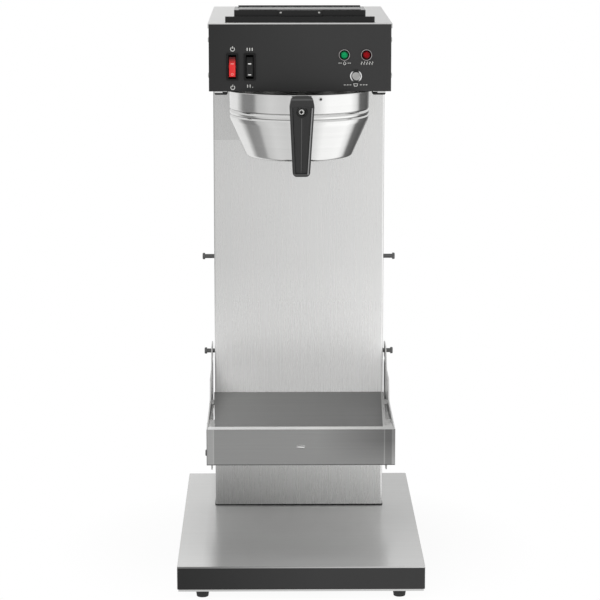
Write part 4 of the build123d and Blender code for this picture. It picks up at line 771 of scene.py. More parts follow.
def base_shade(g):
    """Painted shade on the folded front edge, most at the left, and a painted reflection that lightens the
    plate towards the column.
    """
    x, y, _ = g.axes()
    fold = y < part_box("base_pan")[0].y + 1.6 * MM
    middle = g.fade(abs(x), 0.125, 0.100) * (1.0 - fold)
    towards = g.fade(y, -0.19, -0.01) * g.fade(x * x, 0.0145, 0.0) * 0.50
    # Painted shade on the fold, and a painted reflection on the middle of the plate, brighter to the right.
    return 1.0 - fold * g.fade(x, 0.16, -0.14) * 0.78 + middle * (towards + x * 1.15 - 0.15)


def apron_shade(g):
    """Painted light and shade: bright side wings behind the front, a painted highlight at each fold, painted
    shade on the hemmed edge and a front that dims upwards and to the right."""
    x, y, z = g.axes()
    low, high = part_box("shelf_bracket")
    points = node_points("shelf_bracket") * MM
    edge = float(points[points[:, 1] < low.y + 0.5 * MM, 2].min())
    left_fold = (-110.9 * MM, -109.4 * MM)
    right_fold = (104.6 * MM, 106.1 * MM)
    # Painted light on the wings and beside the folds, painted highlights on the folds, painted shade on the
    # hem and the front.
    wing = y > low.y + 2.5 * MM
    fold = between(x, *right_fold) + between(x, *left_fold)
    outside_light = (x < left_fold[0]) * 0.3 - (x > right_fold[1]) * 0.04 + (x > 114.6 * MM) * 0.55
    hem = g.clamp((z < edge + 1.4 * MM) + (abs(x) > high.x - 0.7 * MM))
    dim = g.fade(x, 0.02, 0.11) * g.fade(z, edge - 0.008, edge + 0.032)
    front = (1.0 + fold * 0.45 + outside_light) * (1.0 - hem * 0.55) * (1.0 - dim * 0.46)
    return front * (1.0 - wing) + wing * 2.1


def tray_shade(g):
    """A painted highlight on the rolled lip over the floor of the tray, and painted light on the edges
    beside the floor.
    """
    x, y, z = g.axes()
    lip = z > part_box("shelf_tray")[1].z - 4 * MM
    right_edge_light = x - y * 0.031 > 110.4 * MM
    left_edge_light = x + y * 0.034 < -115.0 * MM
    # Painted highlight on the lip and painted light on the edges beside the floor.
    return 1.0 + lip * 5.6 + (right_edge_light * 5.0 + left_edge_light * 1.6) * (1.0 - lip)


class BREWER_OT_sheet_metal(bpy.types.Operator):
    """Finish the bent sheet of the base, column, head and shelf"""
    bl_idname = "brewer.sheet_metal"
    bl_label = "Sheet metal"

    def execute(self, context):
        look = context.scene.brewer_finishes
        # The leans and shade functions below paint light and shade into the steel's tone.
        column = brushed_steel(
            "steel_column", look.steel, "Z", rough=0.28, streak=0.05, lean=0.7, shade=column_shade,
            metal=column_gloss)
        base = brushed_steel(
            "steel_base", look.steel * 0.86, "X", rough=0.20, streak=0.10, lean=-0.5, shade=base_shade,
            metal=0.30)
        top = brushed_steel("steel_top", look.steel, "X", rough=0.32, streak=0.08, lean=-0.6)
        rear = brushed_steel("steel_rear", look.steel, "Z", rough=0.36, streak=0.10)
        apron = brushed_steel("steel_bracket", look.tray, "X", rough=0.36, streak=0.14, shade=apron_shade)
        tray = brushed_steel(
            "steel_tray", look.tray * 0.45, "X", rough=0.34, streak=0.12, lean=-3.9, shade=tray_shade)
        inner = brushed_steel("steel_inner", look.steel * 0.9, "Y", rough=0.42, streak=0.10)
        tank = brushed_steel("steel_tank", look.steel, "Z", rough=0.30, streak=0.12)
        dress(["column_shell"], column)
        dress(["base_pan"], base)
        dress(["top_cover"], top)
        dress(["rear_cover"], rear)
        dress(["shelf_bracket"], apron)
        dress(["shelf_tray"], tray)
        dress(["base_floor", "base_stiffeners", "head_frame", "spray_cup", "tank_brackets"], inner)
        dress(["water_tank", "tank_lid"], tank)
        return {"FINISHED"}


class BREWER_OT_painted_metal(bpy.types.Operator):
    """Finish the black control panel and the black strip of the base"""
    bl_idname = "brewer.painted_metal"
    bl_label = "Painted metal"

    def execute(self, context):
        look = context.scene.brewer_finishes
        dress(["front_panel", "base_fascia"], powder_coat("black_powder_coat", look.paint))
        return {"FINISHED"}


class BREWER_OT_moulded_parts(bpy.types.Operator):
    """Finish the rails, switch bodies, basin, lid, guard and gland"""
    bl_idname = "brewer.moulded_parts"
    bl_label = "Moulded parts"

    def execute(self, context):
        look = context.scene.brewer_finishes
        satin = moulded_plastic("black_plastic_satin", look.plastic, rough=0.42, texture=0.5)
        gloss = moulded_plastic(
            "black_plastic_gloss", (0.006, 0.006, 0.006), rough=0.16, texture=0.15, shine=0.35)
        switch = moulded_plastic("black_switch", (0.009, 0.009, 0.009), rough=0.4, texture=0.3, shine=0.2)
        dress(["funnel_rails", "cord_gland"], satin)
        dress(["power_switch_body", "volume_switch_body"], switch)
        dress(["spill_guard", "fill_lid", "lid_grip", "fill_basin"], gloss)
        return {"FINISHED"}


class BREWER_OT_inner_parts(bpy.types.Operator):
    """Finish the tank's fittings, pipes, valve, hose, board and fasteners"""
    bl_idname = "brewer.inner_parts"
    bl_label = "Inner parts"

    def execute(self, context):
        look = context.scene.brewer_finishes
        zinc = bright_metal("zinc_plate", (0.62, 0.62, 0.60), 0.28)
        polished = spun_steel("steel_polished", look.polished, 0.20)
        tube = bright_metal("steel_tube", (0.62, 0.60, 0.57), 0.26)
        nylon = moulded_plastic("white_nylon", (0.72, 0.71, 0.66), rough=0.4)
        dress(["frame_screws", "frame_nuts", "tank_screws", "panel_nuts", "pin_nuts", "shelf_rivets"], zinc)
        dress(["filter_rest", "spray_head", "basin_strainer", "hinge_pin"], polished)
        dress(["heating_element", "level_probe", "spray_pipe"], tube)
        dress(["valve_tube"], bright_metal("copper", (0.78, 0.40, 0.25), 0.24))
        dress(["water_inlet"], bright_metal("brass", (0.80, 0.60, 0.28), 0.22))
        dress(["terminal_block", "thermostat", "inlet_valve"], nylon)
        dress(["tank_gasket", "fill_hose"], rubber("silicone_rubber", (0.62, 0.60, 0.54)))
        dress(["control_board"], board_finish("circuit_board"))
        return {"FINISHED"}


class BREWER_OT_brew_funnel(bpy.types.Operator):
    """Make the spun brew funnel with its rolled rim, grooves, cone and spout"""
    bl_idname = "brewer.brew_funnel"
    bl_label = "Brew funnel"

    def execute(self, context):
        size = context.scene.brewer_funnel
        self.bowl(size, context.scene.brewer_finishes)
        self.vent(size)
        return {"FINISHED"}

    def bowl(self, size, look):
        """The sheet's outer line with its grooves and bead, its inner line one wall inside it, a rolled
        rim and a spout, carried round the axis. A groove is a bell curve, depth exp(-((z - level) / w)^2)."""
        low, high = span("brew_funnel")
        rim = (high[0] - low[0]) / 2
        top = high[2]
        floor = top - size.depth / MM
        wall = size.wall / MM
        radius = size.radius / MM
        shoulder = top - size.shoulder_drop / MM
        spout = 5.5
        bore = 3.0
        neck = top - 3.2
        rim_foot = top - 1.2
        cone_foot = (size.floor_radius / MM, floor)
        cone_top = (size.shoulder_radius / MM, shoulder)
        side = spread(rounded([(spout, floor), cone_foot, cone_top, (radius, neck)], [7.0, 16.0], 12), 220)
        grooves = [top - (size.groove_drop + i * size.groove_pitch) / MM for i in range(2)]
        groove_width = 0.95
        press = sum(np.exp(-((side[:, 1] - level) / groove_width) ** 2) for level in grooves)
        bead_height = 0.35
        bead_width = 1.6
        swell = bead_height * np.exp(-((side[:, 1] - sum(grooves) / 2) / bead_width) ** 2)
        side[:, 0] += swell - press * size.groove / MM
        inner = side - outward(side) * wall
        inside = radius - wall
        lip = rounded(
            [(radius, neck), (radius, rim_foot), (rim, rim_foot), (rim, top), (inside, top), (inside, neck)],
            [1.1, 0.55, 0.55, 0.6], 5,
        )
        foot = low[2]
        tip = rounded([(bore, floor + wall), (bore, foot), (spout, foot), (spout, floor)], [0.4, 0.8], 4)
        loop = np.concatenate([side, lip[1:-1], inner[::-1][:-1], tip[:-1]])
        skin = Skin().grid(lathe(loop, funnel_axis(), segments=size.segments), True)
        # Painted shadow lines just over the grooves.
        crease_shadows = [(level + 0.8) * MM for level in grooves]
        material = spun_steel("steel_funnel", look.polished, 0.13, crease_shadows)
        skin.make("funnel_bowl", material, "funnel", "steel_polished", ["brew_funnel"], 40.0)

    def vent(self, size):
        """A small eyelet round a dark core of painted shade for its hole, to the right of the handle."""
        centre = funnel_axis()
        bearing = math.radians(15.9)
        drop = 6.0
        out = np.array([math.sin(bearing), -math.cos(bearing), 0.0])
        place = centre + out * (size.radius / MM - 0.3)
        place[2] = span("brew_funnel")[1][2] - drop
        eyelet = rounded([(1.5, -0.5), (1.5, 0.5), (2.7, 0.5), (2.7, -0.5)], [0.3, 0.4], 4)
        core = [(0, 0.3), (1.6, 0.3), (1.6, -0.4), (0, -0.4)]
        bright = bright_metal("eyelet_metal", (0.75, 0.75, 0.74), 0.15)
        # Painted shade: a black disc stands for the shaded inside of the hole.
        dark = moulded_plastic("vent_hole_shade", (0.01, 0.01, 0.01), rough=0.6)
        for name, profile, ring, material, slot in (
            ("funnel_eyelet", eyelet, True, bright, "steel_polished"),
            ("funnel_eyelet_shade", core, False, dark, "black_plastic"),
        ):
            points = turned_about(lathe(profile, place, out, 24), centre, size.turn)
            Skin().grid(points, ring).make(name, material, "funnel", slot)


def handle_lean(share):
    """How far the handle's middle line stands to the right, by its share of the height from the foot."""
    return share * 0.95 - 0.4


class BREWER_OT_funnel_handle(bpy.types.Operator):
    """Make the moulded handle: a tapered bar with a raised border, a sunk face and a middle ridge"""
    bl_idname = "brewer.funnel_handle"
    bl_label = "Funnel handle"

    def execute(self, context):
        size = context.scene.brewer_funnel
        low, high = span("funnel_handle")
        foot = low[2]
        top = high[2]
        screw = sum(box[2] for box in span("handle_screw")) / 2
        centre = funnel_axis()
        rows = 161
        columns = 65
        ease = (1 - np.cos(np.linspace(0, math.pi, rows))) / 2
        level = foot + (top - foot) * (0.35 * np.linspace(0, 1, rows) + 0.65 * ease)
        around = np.linspace(-1, 1, columns)
        across = np.sign(around) * (1 - (1 - np.abs(around)) ** 1.6)
        z, s = np.meshgrid(level, across, indexing="ij")
        half = self.half_width(z, foot, top, size)
        x = s * half
        saddle = size.radius / MM + 0.15
        y_front = low[1] + 0.1 + self.relief(x, z, half, foot, top, screw, size)
        y_back = centre[1] - np.sqrt(saddle ** 2 - x ** 2)
        y_side = (y_back + y_front) / 2
        x = x + handle_lean((z - foot) / (top - foot))
        face = np.stack([x, y_front, z], -1)
        back = np.stack([x[:, ::-1], y_back[:, ::-1], z], -1)
        right = np.stack([x[:, -1:], y_side[:, -1:], z[:, -1:]], -1)
        left = np.stack([x[:, :1], y_side[:, :1], z[:, :1]], -1)
        loop = turned_about(np.concatenate([face, right, back, left], 1), centre, size.turn)
        material = self.plastic(context.scene.brewer_finishes, centre[0], foot, top, screw, size)
        Skin().tube(loop).make("handle_grip", material, "funnel", "black_plastic", ["funnel_handle"], 50.0)
        return {"FINISHED"}

    def half_width(self, z, foot, top, size):
        """Straight taper from foot to top, drawn in near the top, with the end corners rounded as arcs."""
        share = (z - foot) / (top - foot)
        width = (size.handle_foot + (size.handle_top - size.handle_foot) * share) / 2 / MM
        waist = 3.6
        waist_height = 14.0
        drawn_in = waist * np.clip(1 - (top - z) / waist_height, 0, 1) ** 1.2
        top_corner = 5.5
        foot_corner = 5.0
        return width - drawn_in - bulge(top - z, top_corner) - bulge(z - foot, foot_corner)

    def relief(self, x, z, half, foot, top, screw, size):
        """Depth of the face behind its border: rounded edges, a crown that falls back at the top, a sunk
        and dished field with a ridge up its middle, and a well for the screw inside a collar."""
        edge_radius = 1.6
        crown_depth = 3.2
        crown_height = 7.0
        well_radius = 4.5
        well_depth = 3.4
        collar_radius = 5.8
        edge = np.minimum(half - np.abs(x), np.minimum(z - foot, top - z))
        crown = crown_depth * np.clip(1 - (top - z) / crown_height, 0, 1) ** 2.2
        field = step(edge, size.handle_border / MM, 0.9) * (1 - step(z, screw + 3.0, 6.0))
        ridge = (1 - step(np.abs(x), 0.7, 1.1)) * (1 - step(z, screw - 9.0, 4.0)) * step(z, foot + 6.0, 3.0)
        dish = 0.5 * (1 - (x / np.maximum(half, 1)) ** 2)
        from_screw = np.hypot(x, z - screw)
        well = 1 - step(from_screw, well_radius, 0.5)
        collar = (1 - step(from_screw, collar_radius, 1.2)) * (1 - well)
        sunk = field * (size.handle_sink / MM + dish) * (1 - 0.4 * ridge) * (1 - collar) * (1 - well)
        return bulge(edge, edge_radius) + crown + sunk + well * well_depth

    def plastic(self, look, middle, foot, top, screw, size):
        """Black plastic with painted highlights on the middle ridge, along both sides, over the foot, on the
        brow under the top and towards the top, and painted shade that makes it black round the screw."""
        material, g = finish("handle_plastic")
        x, y, z = g.axes()
        tall = top - foot
        height = z / MM - foot
        share = height / tall
        facing = y < (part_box("funnel_handle")[0].y + 9 * MM)
        drift = math.sin(size.turn) * (size.radius / MM + 12.0)
        across = x / MM - middle - drift - handle_lean(share)
        half = (share * (size.handle_top - size.handle_foot) + size.handle_foot) / 2 / MM
        from_right = half - across
        from_left = half + across
        sides = between(height, 3.0, tall - 15.0) * facing
        right = between(from_right, 1.4, 2.9) * sides
        left = between(from_left, 2.2, 2.9) * sides
        bottom = between(height, 2.2, 3.2) * (from_right > 1.1) * (from_left > 1.1) * facing
        ridge = between(across, -0.45, 0.45) * between(height, 5.0, screw - foot - 8.0) * facing
        head = g.fade(height, tall - 26.0, tall)
        brow = between(height, tall - 5.4, tall - 3.2) * facing
        rise = height - (screw - foot)
        screw_shade_radius = 5.1
        # Painted shade: black round the screw.
        ring = (across * across + rise * rise) < screw_shade_radius ** 2
        cloud = g.noise(60.0)
        pebble = g.noise(2600.0, 2.0)
        # Painted highlights: each mask lightens the black where light would catch it.
        shine = right * 14.0 + bottom * 5.0 + left * 1.6 + ridge * 3.2 + head * 0.45 + brow * 2.6
        level = (1.0 + shine + cloud * 0.3) * (1.0 - ring * 0.95)
        g.surface({
            "Base Color": g.shift(tuple(c * 1.35 for c in look.plastic), level),
            "Roughness": 0.36 + pebble * 0.1,
            "Specular IOR Level": 0.5,
            "Normal": g.bump(pebble, 0.00003, 0.4),
        })
        return material


class BREWER_OT_fasteners(bpy.types.Operator):
    """Make the cross head screws of the handle, grip, panel and rear cover"""
    bl_idname = "brewer.fasteners"
    bl_label = "Fasteners"

    def execute(self, context):
        zinc = bright_metal("screw_metal", (0.70, 0.70, 0.68), 0.2)
        longest_nut = 6.4
        for node, name, body, direction, radius, height, shank in (
            ("handle_screw", "handle_fastener", "funnel", (0, -1, 0), 3.9, 2.4, 2.0),
            ("grip_screws", "grip_fasteners", "lid", (0, -1, 0), 1.3, 0.9, 0.8),
            ("rear_screws", "rear_fasteners", "brewer_body", (0, 1, 0), 3.9, 2.4, 2.0),
            ("panel_screws", "panel_fasteners", "brewer_body", (1, 0, 0), 3.2, 1.0, 2.0),
        ):
            skin = Skin()
            for low, high in solids(node):
                middle = (low + high) / 2
                along = np.array(direction, float)
                if direction[0] and middle[0] < 0:
                    along = -along
                reach = abs((high - low) @ along)
                if node == "handle_screw" and reach < longest_nut:
                    self.nut(skin, middle - along * reach / 2, along, reach)
                    continue
                seat = middle + along * (reach / 2 - height)
                self.head(skin, seat, along, radius, height)
                self.thread(skin, seat, along, radius, shank, reach - height)
            skin.make(name, zinc, body, "zinc_fasteners", [node], 30.0)
        self.recess()
        return {"FINISHED"}

    def head(self, skin, centre, direction, radius, height):
        """A domed head whose face is height (1 - 0.35 (r / R)^3), less a cross of two sloped slots."""
        side, up, along = axes_for(direction)
        r = np.linspace(0, 1, 11)[:, None] * radius
        a = np.linspace(0, FULL_TURN, 40, endpoint=False)[None, :]
        x = r * np.cos(a)
        y = r * np.sin(a)
        dome = height * (1 - 0.35 * (r / radius) ** 3)
        narrow = np.minimum(np.abs(x), np.abs(y))
        slot = np.clip(1 - narrow / (0.20 * radius), 0, 1) ** 0.5
        reach = np.clip(1 - (r / (0.62 * radius)) ** 4, 0, 1)
        dome = dome - 0.62 * height * slot * reach
        flat = np.array(centre) + x[..., None] * side + y[..., None] * up
        skin.grid(np.concatenate([flat + dome[..., None] * along, flat[-1:]], 0))

    def thread(self, skin, seat, along, radius, shank, length):
        """The shank under a head, whose radius drops to 0.86 of itself in each turn of the thread."""
        pitch = 0.7
        profile = [(radius, 0.0), (shank, 0.0)]
        for i in range(int(length / pitch)):
            profile += [(shank, -pitch * i - 0.1), (shank * 0.86, -pitch * i - 0.45)]
        profile += [(shank * 0.7, -length), (0.0, -length)]
        skin.grid(lathe(profile, seat, along, 20))

    def nut(self, skin, foot, along, reach):
        """A six sided nut with a round bore."""
        bore = 2.05
        corner = 4.0
        profile = rounded([(bore, 0), (corner, 0), (corner, reach), (bore, reach)], [0.3, 0.3], 2)
        skin.grid(lathe(profile, foot, along, 6), True)

    def recess(self):
        """Painted shade in the head of the handle's screw: a dark cross of two short bars at right angles
        that stands for the shadow in its slots.
        """
        low, high = min(solids("handle_screw"), key=lambda box: box[0][1])
        x, face, z = front_of(low, high)
        cross = Skin()
        arm = 1.8
        for turn in (0.35, 0.35 + QUARTER_TURN):
            across = arm * math.cos(turn)
            up = arm * math.sin(turn)
            stroke(cross, [(x - across, z - up), (x + across, z + up)], 1.1, face + 0.1)
        # Painted shadow of the cross slots.
        dark = bright_metal("screw_slot_shadow", (0.04, 0.04, 0.04), 0.5)
        cross.make("handle_screw_recess_shadow", dark, "funnel", "zinc_fasteners")


class BREWER_OT_shelf_pins(bpy.types.Operator):
    """Make the headed pins that the shelf hangs on"""
    bl_idname = "brewer.shelf_pins"
    bl_label = "Shelf pins"

    def execute(self, context):
        shank = 2.85
        head_depth = 3.4
        skin = Skin()
        for low, high in solids("shelf_pins"):
            middle = (low + high) / 2
            along = np.array([1.0 if middle[0] > 0 else -1.0, 0.0, 0.0])
            reach = high[0] - low[0]
            head = (high[2] - low[2]) / 2
            profile = rounded(
                [(0, 0), (head, 0), (head, -head_depth), (shank, -head_depth), (shank, -reach), (0, -reach)],
                [1.1, 0.3, 0.25, 0.5],
            )
            skin.grid(lathe(profile, middle + along * reach / 2, along, 40))
        dark = bright_metal("pin_metal", (0.16, 0.16, 0.16), 0.22)
        skin.make("hanging_pins", dark, "brewer_body", "steel_polished", ["shelf_pins"])
        return {"FINISHED"}


class BREWER_OT_feet(bpy.types.Operator):
    """Make the tapered rubber feet with their screw recesses"""
    bl_idname = "brewer.feet"
    bl_label = "Feet"

    def execute(self, context):
        bore = 2.1
        recess = 4.2
        recess_depth = 5.5
        skin = Skin()
        for low, high in solids("base_feet"):
            centre = np.array([(low[0] + high[0]) / 2, (low[1] + high[1]) / 2, low[2]])
            height = high[2] - low[2]
            wide = (high[0] - low[0]) / 2
            outline = [
                (bore, recess_depth), (recess, recess_depth), (recess, 0), (wide - 1.4, 0),
                (wide - 0.4, height * 0.7), (wide, height), (bore, height),
            ]
            skin.grid(lathe(rounded(outline, [0.4, 0.5, 1.0, 1.0, 0.3], 5), centre, segments=48), True)
        black = rubber("foot_rubber", (0.025, 0.025, 0.025))
        skin.make("rubber_feet", black, "brewer_body", "rubber_black", ["base_feet"])
        return {"FINISHED"}


class BREWER_OT_lamps(bpy.types.Operator):
    """Make the two indicator lamps: turned collars and domed lenses"""
    bl_idname = "brewer.lamps"
    bl_label = "Lamps"

    def execute(self, context):
        look = context.scene.brewer_finishes
        self.collars()
        self.lens("filling_lamp", "filling_lens", "green_lens", look.filling, 0.16)
        self.lens("heating_lamp", "heating_lens", "red_lens", look.heating, 0.12)
        return {"FINISHED"}

    def collars(self):
        """A bright rounded collar on the panel, and in it a black sleeve that holds the lens and is also a
        painted dark reflection in the collar's recess.
        """
        bore = 6.15
        collar_depth = 2.05
        collars = Skin()
        sleeves = Skin()
        for low, high in solids("lamp_bezels"):
            centre = front_of(low, high)
            wide = (high[0] - low[0]) / 2
            length = high[1] - low[1]
            collar = rounded(
                [(bore, 2.0), (bore, 0.0), (wide, 0.0), (wide, collar_depth), (bore, collar_depth)],
                [0.4, 0.45, 0.1], 5,
            )
            sleeve = rounded(
                [(4.95, length), (4.95, 0.9), (6.1, 0.5), (6.1, 2.1), (6.0, 2.1), (6.0, length)],
                [0.2, 0.2, 0.05, 0.05], 3,
            )
            collars.grid(lathe(collar, centre, (0, 1, 0)), True)
            sleeves.grid(lathe(sleeve, centre, (0, 1, 0), 48), True)
        chrome = bright_metal("collar_chrome", (0.50, 0.47, 0.47), 0.16)
        # The black sleeve is partly painted dark reflection in the collar's recess.
        black = moulded_plastic("black_sleeve_and_reflection", (0.004, 0.004, 0.004), rough=0.4, texture=0.3, shine=0.15)
        collars.make("lamp_collars", chrome, "brewer_body", "steel_polished", ["lamp_bezels"])
        sleeves.make("lamp_sleeves", black, "brewer_body", "black_plastic")

    def lens(self, node, name, slot, colour, glow):
        """A domed lens, radius sin t and depth 2.6 (1 - cos t), with a stem and two flat terminals."""
        low, high = span(node)
        centre = front_of(low, high)
        radius = 4.8
        stem = 24.0
        t = np.linspace(0, QUARTER_TURN, 14)
        dome = np.stack([radius * np.sin(t), 2.6 * (1 - np.cos(t))], 1)
        tail = [(radius, stem - 2.0), (4.0, stem), (0, stem)]
        skin = Skin().grid(lathe(np.concatenate([dome, tail]), centre, (0, 1, 0), 48))
        blade = np.array([(-0.4, 0, -1.4), (0.4, 0, -1.4), (0.4, 0, 1.4), (-0.4, 0, 1.4)])
        back = np.array([0.0, 1.0, 0.0])
        for offset in (-2.0, 2.0):
            root = blade + centre + np.array([offset, 0.0, 0.0])
            skin.tube(np.stack([root + end * back for end in (stem - 0.5, high[1] - low[1])]))
        glass = clear_lens(name + "_glass", tuple(colour), glow, centre * MM, radius * MM)
        skin.make(name, glass, "brewer_body", slot, [node])


class BREWER_OT_brew_button(bpy.types.Operator):
    """Make the push button: a turned ring, a dished cap with its stem and a wound spring"""
    bl_idname = "brewer.brew_button"
    bl_label = "Brew button"

    def execute(self, context):
        self.ring()
        self.cap()
        self.spring()
        return {"FINISHED"}

    def ring(self):
        """The bright ring on the panel and the barrel behind it, with a floor that holds the spring."""
        low, high = span("brew_button_body")
        centre = front_of(low, high)
        length = high[1] - low[1]
        wide = 7.85
        barrel = 6.0
        stem_hole = 2.1
        ring_depth = 2.05
        outline = [
            (5.75, 1.6), (5.95, 0.0), (7.4, 0.0), (wide, 0.6), (wide, ring_depth), (barrel, ring_depth),
            (barrel, length), (stem_hole, length), (stem_hole, length - 2.0), (5.55, length - 2.0),
        ]
        profile = rounded(outline, [0.2, 0.3, 0.4, 0.1, 0.2, 0.3, 0.2, 0.2], 5)
        chrome = turned_chrome("button_chrome", 0.95, centre[0] * MM, wide * MM)
        skin = Skin().grid(lathe(profile, centre, (0, 1, 0)), True)
        skin.make("button_ring", chrome, "brewer_body", "steel_polished", ["brew_button_body"])

    def cap(self):
        """A round cap, dished in its middle, with a stem behind."""
        low, high = span("brew_button_cap")
        length = high[1] - low[1]
        wide = 5.3
        stem = 2.0
        skirt = 7.0
        outline = [
            (0, 0.45), (3.4, 0.35), (4.4, 0.0), (wide, 0.6), (wide, skirt), (stem, skirt), (stem, length),
            (0, length),
        ]
        profile = rounded(outline, [2.0, 0.5, 0.4, 0.3, 0.2, 0.4], 5)
        metal = bright_metal("button_aluminium", (0.50, 0.50, 0.49), 0.3)
        skin = Skin().grid(lathe(profile, front_of(low, high), (0, 1, 0)))
        skin.make("button_face", metal, "button", "button_metal", ["brew_button_cap"])

    def spring(self):
        """A round wire along a helix: centre + R (cos a, 0, sin a), moving back evenly with a."""
        low, high = span("brew_button_spring")
        centre = front_of(low, high)
        wire = 0.45
        turns = 6.5
        radius = (high[0] - low[0]) / 2 - wire
        t = np.linspace(0, 1, 160)
        a = t * turns * FULL_TURN
        out = np.stack([np.cos(a), 0 * a, np.sin(a)], 1)
        path = centre + radius * out
        path[:, 1] += wire + t * (high[1] - low[1] - 2 * wire)
        third = np.cross(unit(np.gradient(path, axis=0)), out)
        b = np.linspace(0, FULL_TURN, 8, endpoint=False)[None, :, None]
        tube = path[:, None] + wire * (np.cos(b) * out[:, None] + np.sin(b) * third[:, None])
        steel = bright_metal("spring_wire", (0.6, 0.6, 0.58), 0.22)
        Skin().tube(tube).make(
            "button_spring", steel, "brewer_body", "spring_steel", ["brew_button_spring"], 50.0)


class BREWER_OT_rockers(bpy.types.Operator):
    """Make the two rocker levers with creased faces and raised, rounded side edges"""
    bl_idname = "brewer.rockers"
    bl_label = "Rockers"
    tilt = math.radians(-10.0)

    def execute(self, context):
        look = context.scene.brewer_finishes
        red = {"name": "red_rocker", "colour": look.power, "rough": 0.30, "texture": 0.15, "coat": 0.1}
        black = {"name": "black_rocker", "colour": look.plastic, "rough": 0.32, "texture": 0.2}
        white = ink("rocker_white", (0.78, 0.78, 0.76))
        pink = ink("rocker_pink", (0.80, 0.28, 0.26))
        for node, body, slot, plastic, print_ink in (
            ("power_rocker", "power_lever", "red_plastic", red, pink),
            ("volume_rocker", "volume_lever", "black_plastic", black, white),
        ):
            pivot = joint_pivot(node + "_hinge")
            # Painted shade darkens the lever upwards from just over its pivot.
            material = moulded_plastic(**plastic, shine=0.3, shade_from=(pivot[2] + 3.6) * MM)
            self.lever(node, body, slot, pivot, material)
            self.marks(node, body, pivot, print_ink)
        return {"FINISHED"}

    def placed(self, pivot, x, y, z):
        """Points of the lever's own upright frame, tilted about its pivot."""
        turned_y = y * math.cos(self.tilt) - z * math.sin(self.tilt)
        turned_z = y * math.sin(self.tilt) + z * math.cos(self.tilt)
        return pivot + np.stack([np.broadcast_to(x, y.shape), turned_y, turned_z], -1)

    def lever(self, node, body, slot, pivot, material):
        """The side outline carried across the width. Towards each side it flares outwards as a quarter
        circle does, and its front is hollow by 0.35 (1 - (x / half width)^2). Two pegs are its trunnions."""
        half = 4.0
        edge = 0.7
        outline = rounded_loop(
            [(-5.0, 0), (-7.0, 11.6), (-4.0, 11.6), (-1.0, 9.4), (3.4, 3.6), (3.4, -3.6), (-1.0, -10.5),
             (-4.0, -13.5), (-7.35, -13.5)],
            [0.9, 0.6, 1.0, 1.0, 1.0, 1.0, 0.6, 0.9], 5,
        )
        turn = edge * (1 - np.cos(np.linspace(0, QUARTER_TURN, 5)))
        flat = np.linspace(edge - half, half - edge, 9)[1:-1]
        x = np.concatenate([turn - half, flat, half - turn[::-1]])
        flare = 0.5 * bulge(half - np.abs(x), edge)
        hollow = 0.35 * (1 - (x / half) ** 2)
        facing = np.clip(-(outline[:, 0] + 3.5), 0, 1)
        profile = outline - outward(outline, True) * flare[:, None, None]
        y = profile[..., 0] + hollow[:, None] * facing
        points = self.placed(pivot, x[:, None], y, profile[..., 1])
        skin = Skin().tube(points)
        peg = [(0, 0.0), (1.35, 0.0), (1.35, 2.0), (0, 2.0)]
        for side in (-1, 1):
            skin.grid(lathe(peg, pivot + np.array([side * (half - 0.2), 0, 0]), (side, 0, 0), 20))
        skin.make(node + "_lever", material, body, slot, [node], 40.0)

    def marks(self, node, body, pivot, material):
        """A dash near the crease and a ring or a dash near the lower end, laid on the tilted face."""
        marks = Skin()
        stroke(marks, [(-2.0, 3.0), (2.0, 3.0)], 1.3, 0.0)
        if node == "power_rocker":
            stroke(marks, arc((0.0, -10.4), 1.35, 0, 345), 0.6, 0.0, True)
        else:
            stroke(marks, [(-2.0, -11.0), (2.0, -11.0)], 1.0, 0.0)
        x, y, z = np.concatenate(marks.points).T
        crease = -5.0
        slope = 2.4 / 13.7
        sunk = 0.25
        marks.points = [self.placed(pivot, x, y + crease - slope * np.abs(z) + sunk, z)]
        marks.make(node + "_marks", material, body, "white_plastic")


def power_ring(x, z):
    """Strokes of an open ring with an upright dash in its gap."""
    return [(arc((x, z - 0.5), 2.5, 125, 415), 0.85), ([(x, z + 0.4), (x, z + 3.2)], 0.85)]


def level_bars(x, z, raised):
    """Three upright strokes, of which the first ones are raised."""
    places = [x - 3.2, x, x + 3.2]
    tall = [3.8 if i < raised else 1.0 for i in range(3)]
    return [([(place, z - 1.9), (place, z - 1.9 + height)], 1.1) for place, height in zip(places, tall)]


def dashes(x, z, offsets, length, width):
    """Level dashes in a row."""
    return [([(x + offset - length / 2, z), (x + offset + length / 2, z)], width) for offset in offsets]


def water_drop(x, z):
    """The closed stroke of a drop: most of a circle with a point over it."""
    return [(np.concatenate([[(x, z + 2.8)], arc((x, z), 1.45, 30, -210, 16)]), 0.7, True)]


def heat_waves(x, z):
    """Five upright waves: x + 0.7 sin(1.65 z)."""
    rise = np.linspace(-1.9, 1.9, 12)
    sway = 0.7 * np.sin(rise * 1.65)
    return [(np.stack([x + (i - 2) * 3.4 + sway, z + rise], 1), 0.75) for i in range(5)]


def cup(x, z):
    """An open bowl under its rim."""
    foot = z - 1.6
    rim = z + 1.6
    bowl = rounded([(x - 2.3, rim), (x - 1.9, foot), (x + 1.9, foot), (x + 2.3, rim)], [1.0, 1.0], 5)
    return [(bowl, 0.8), ([(x - 2.9, rim), (x + 2.9, rim)], 0.7)]


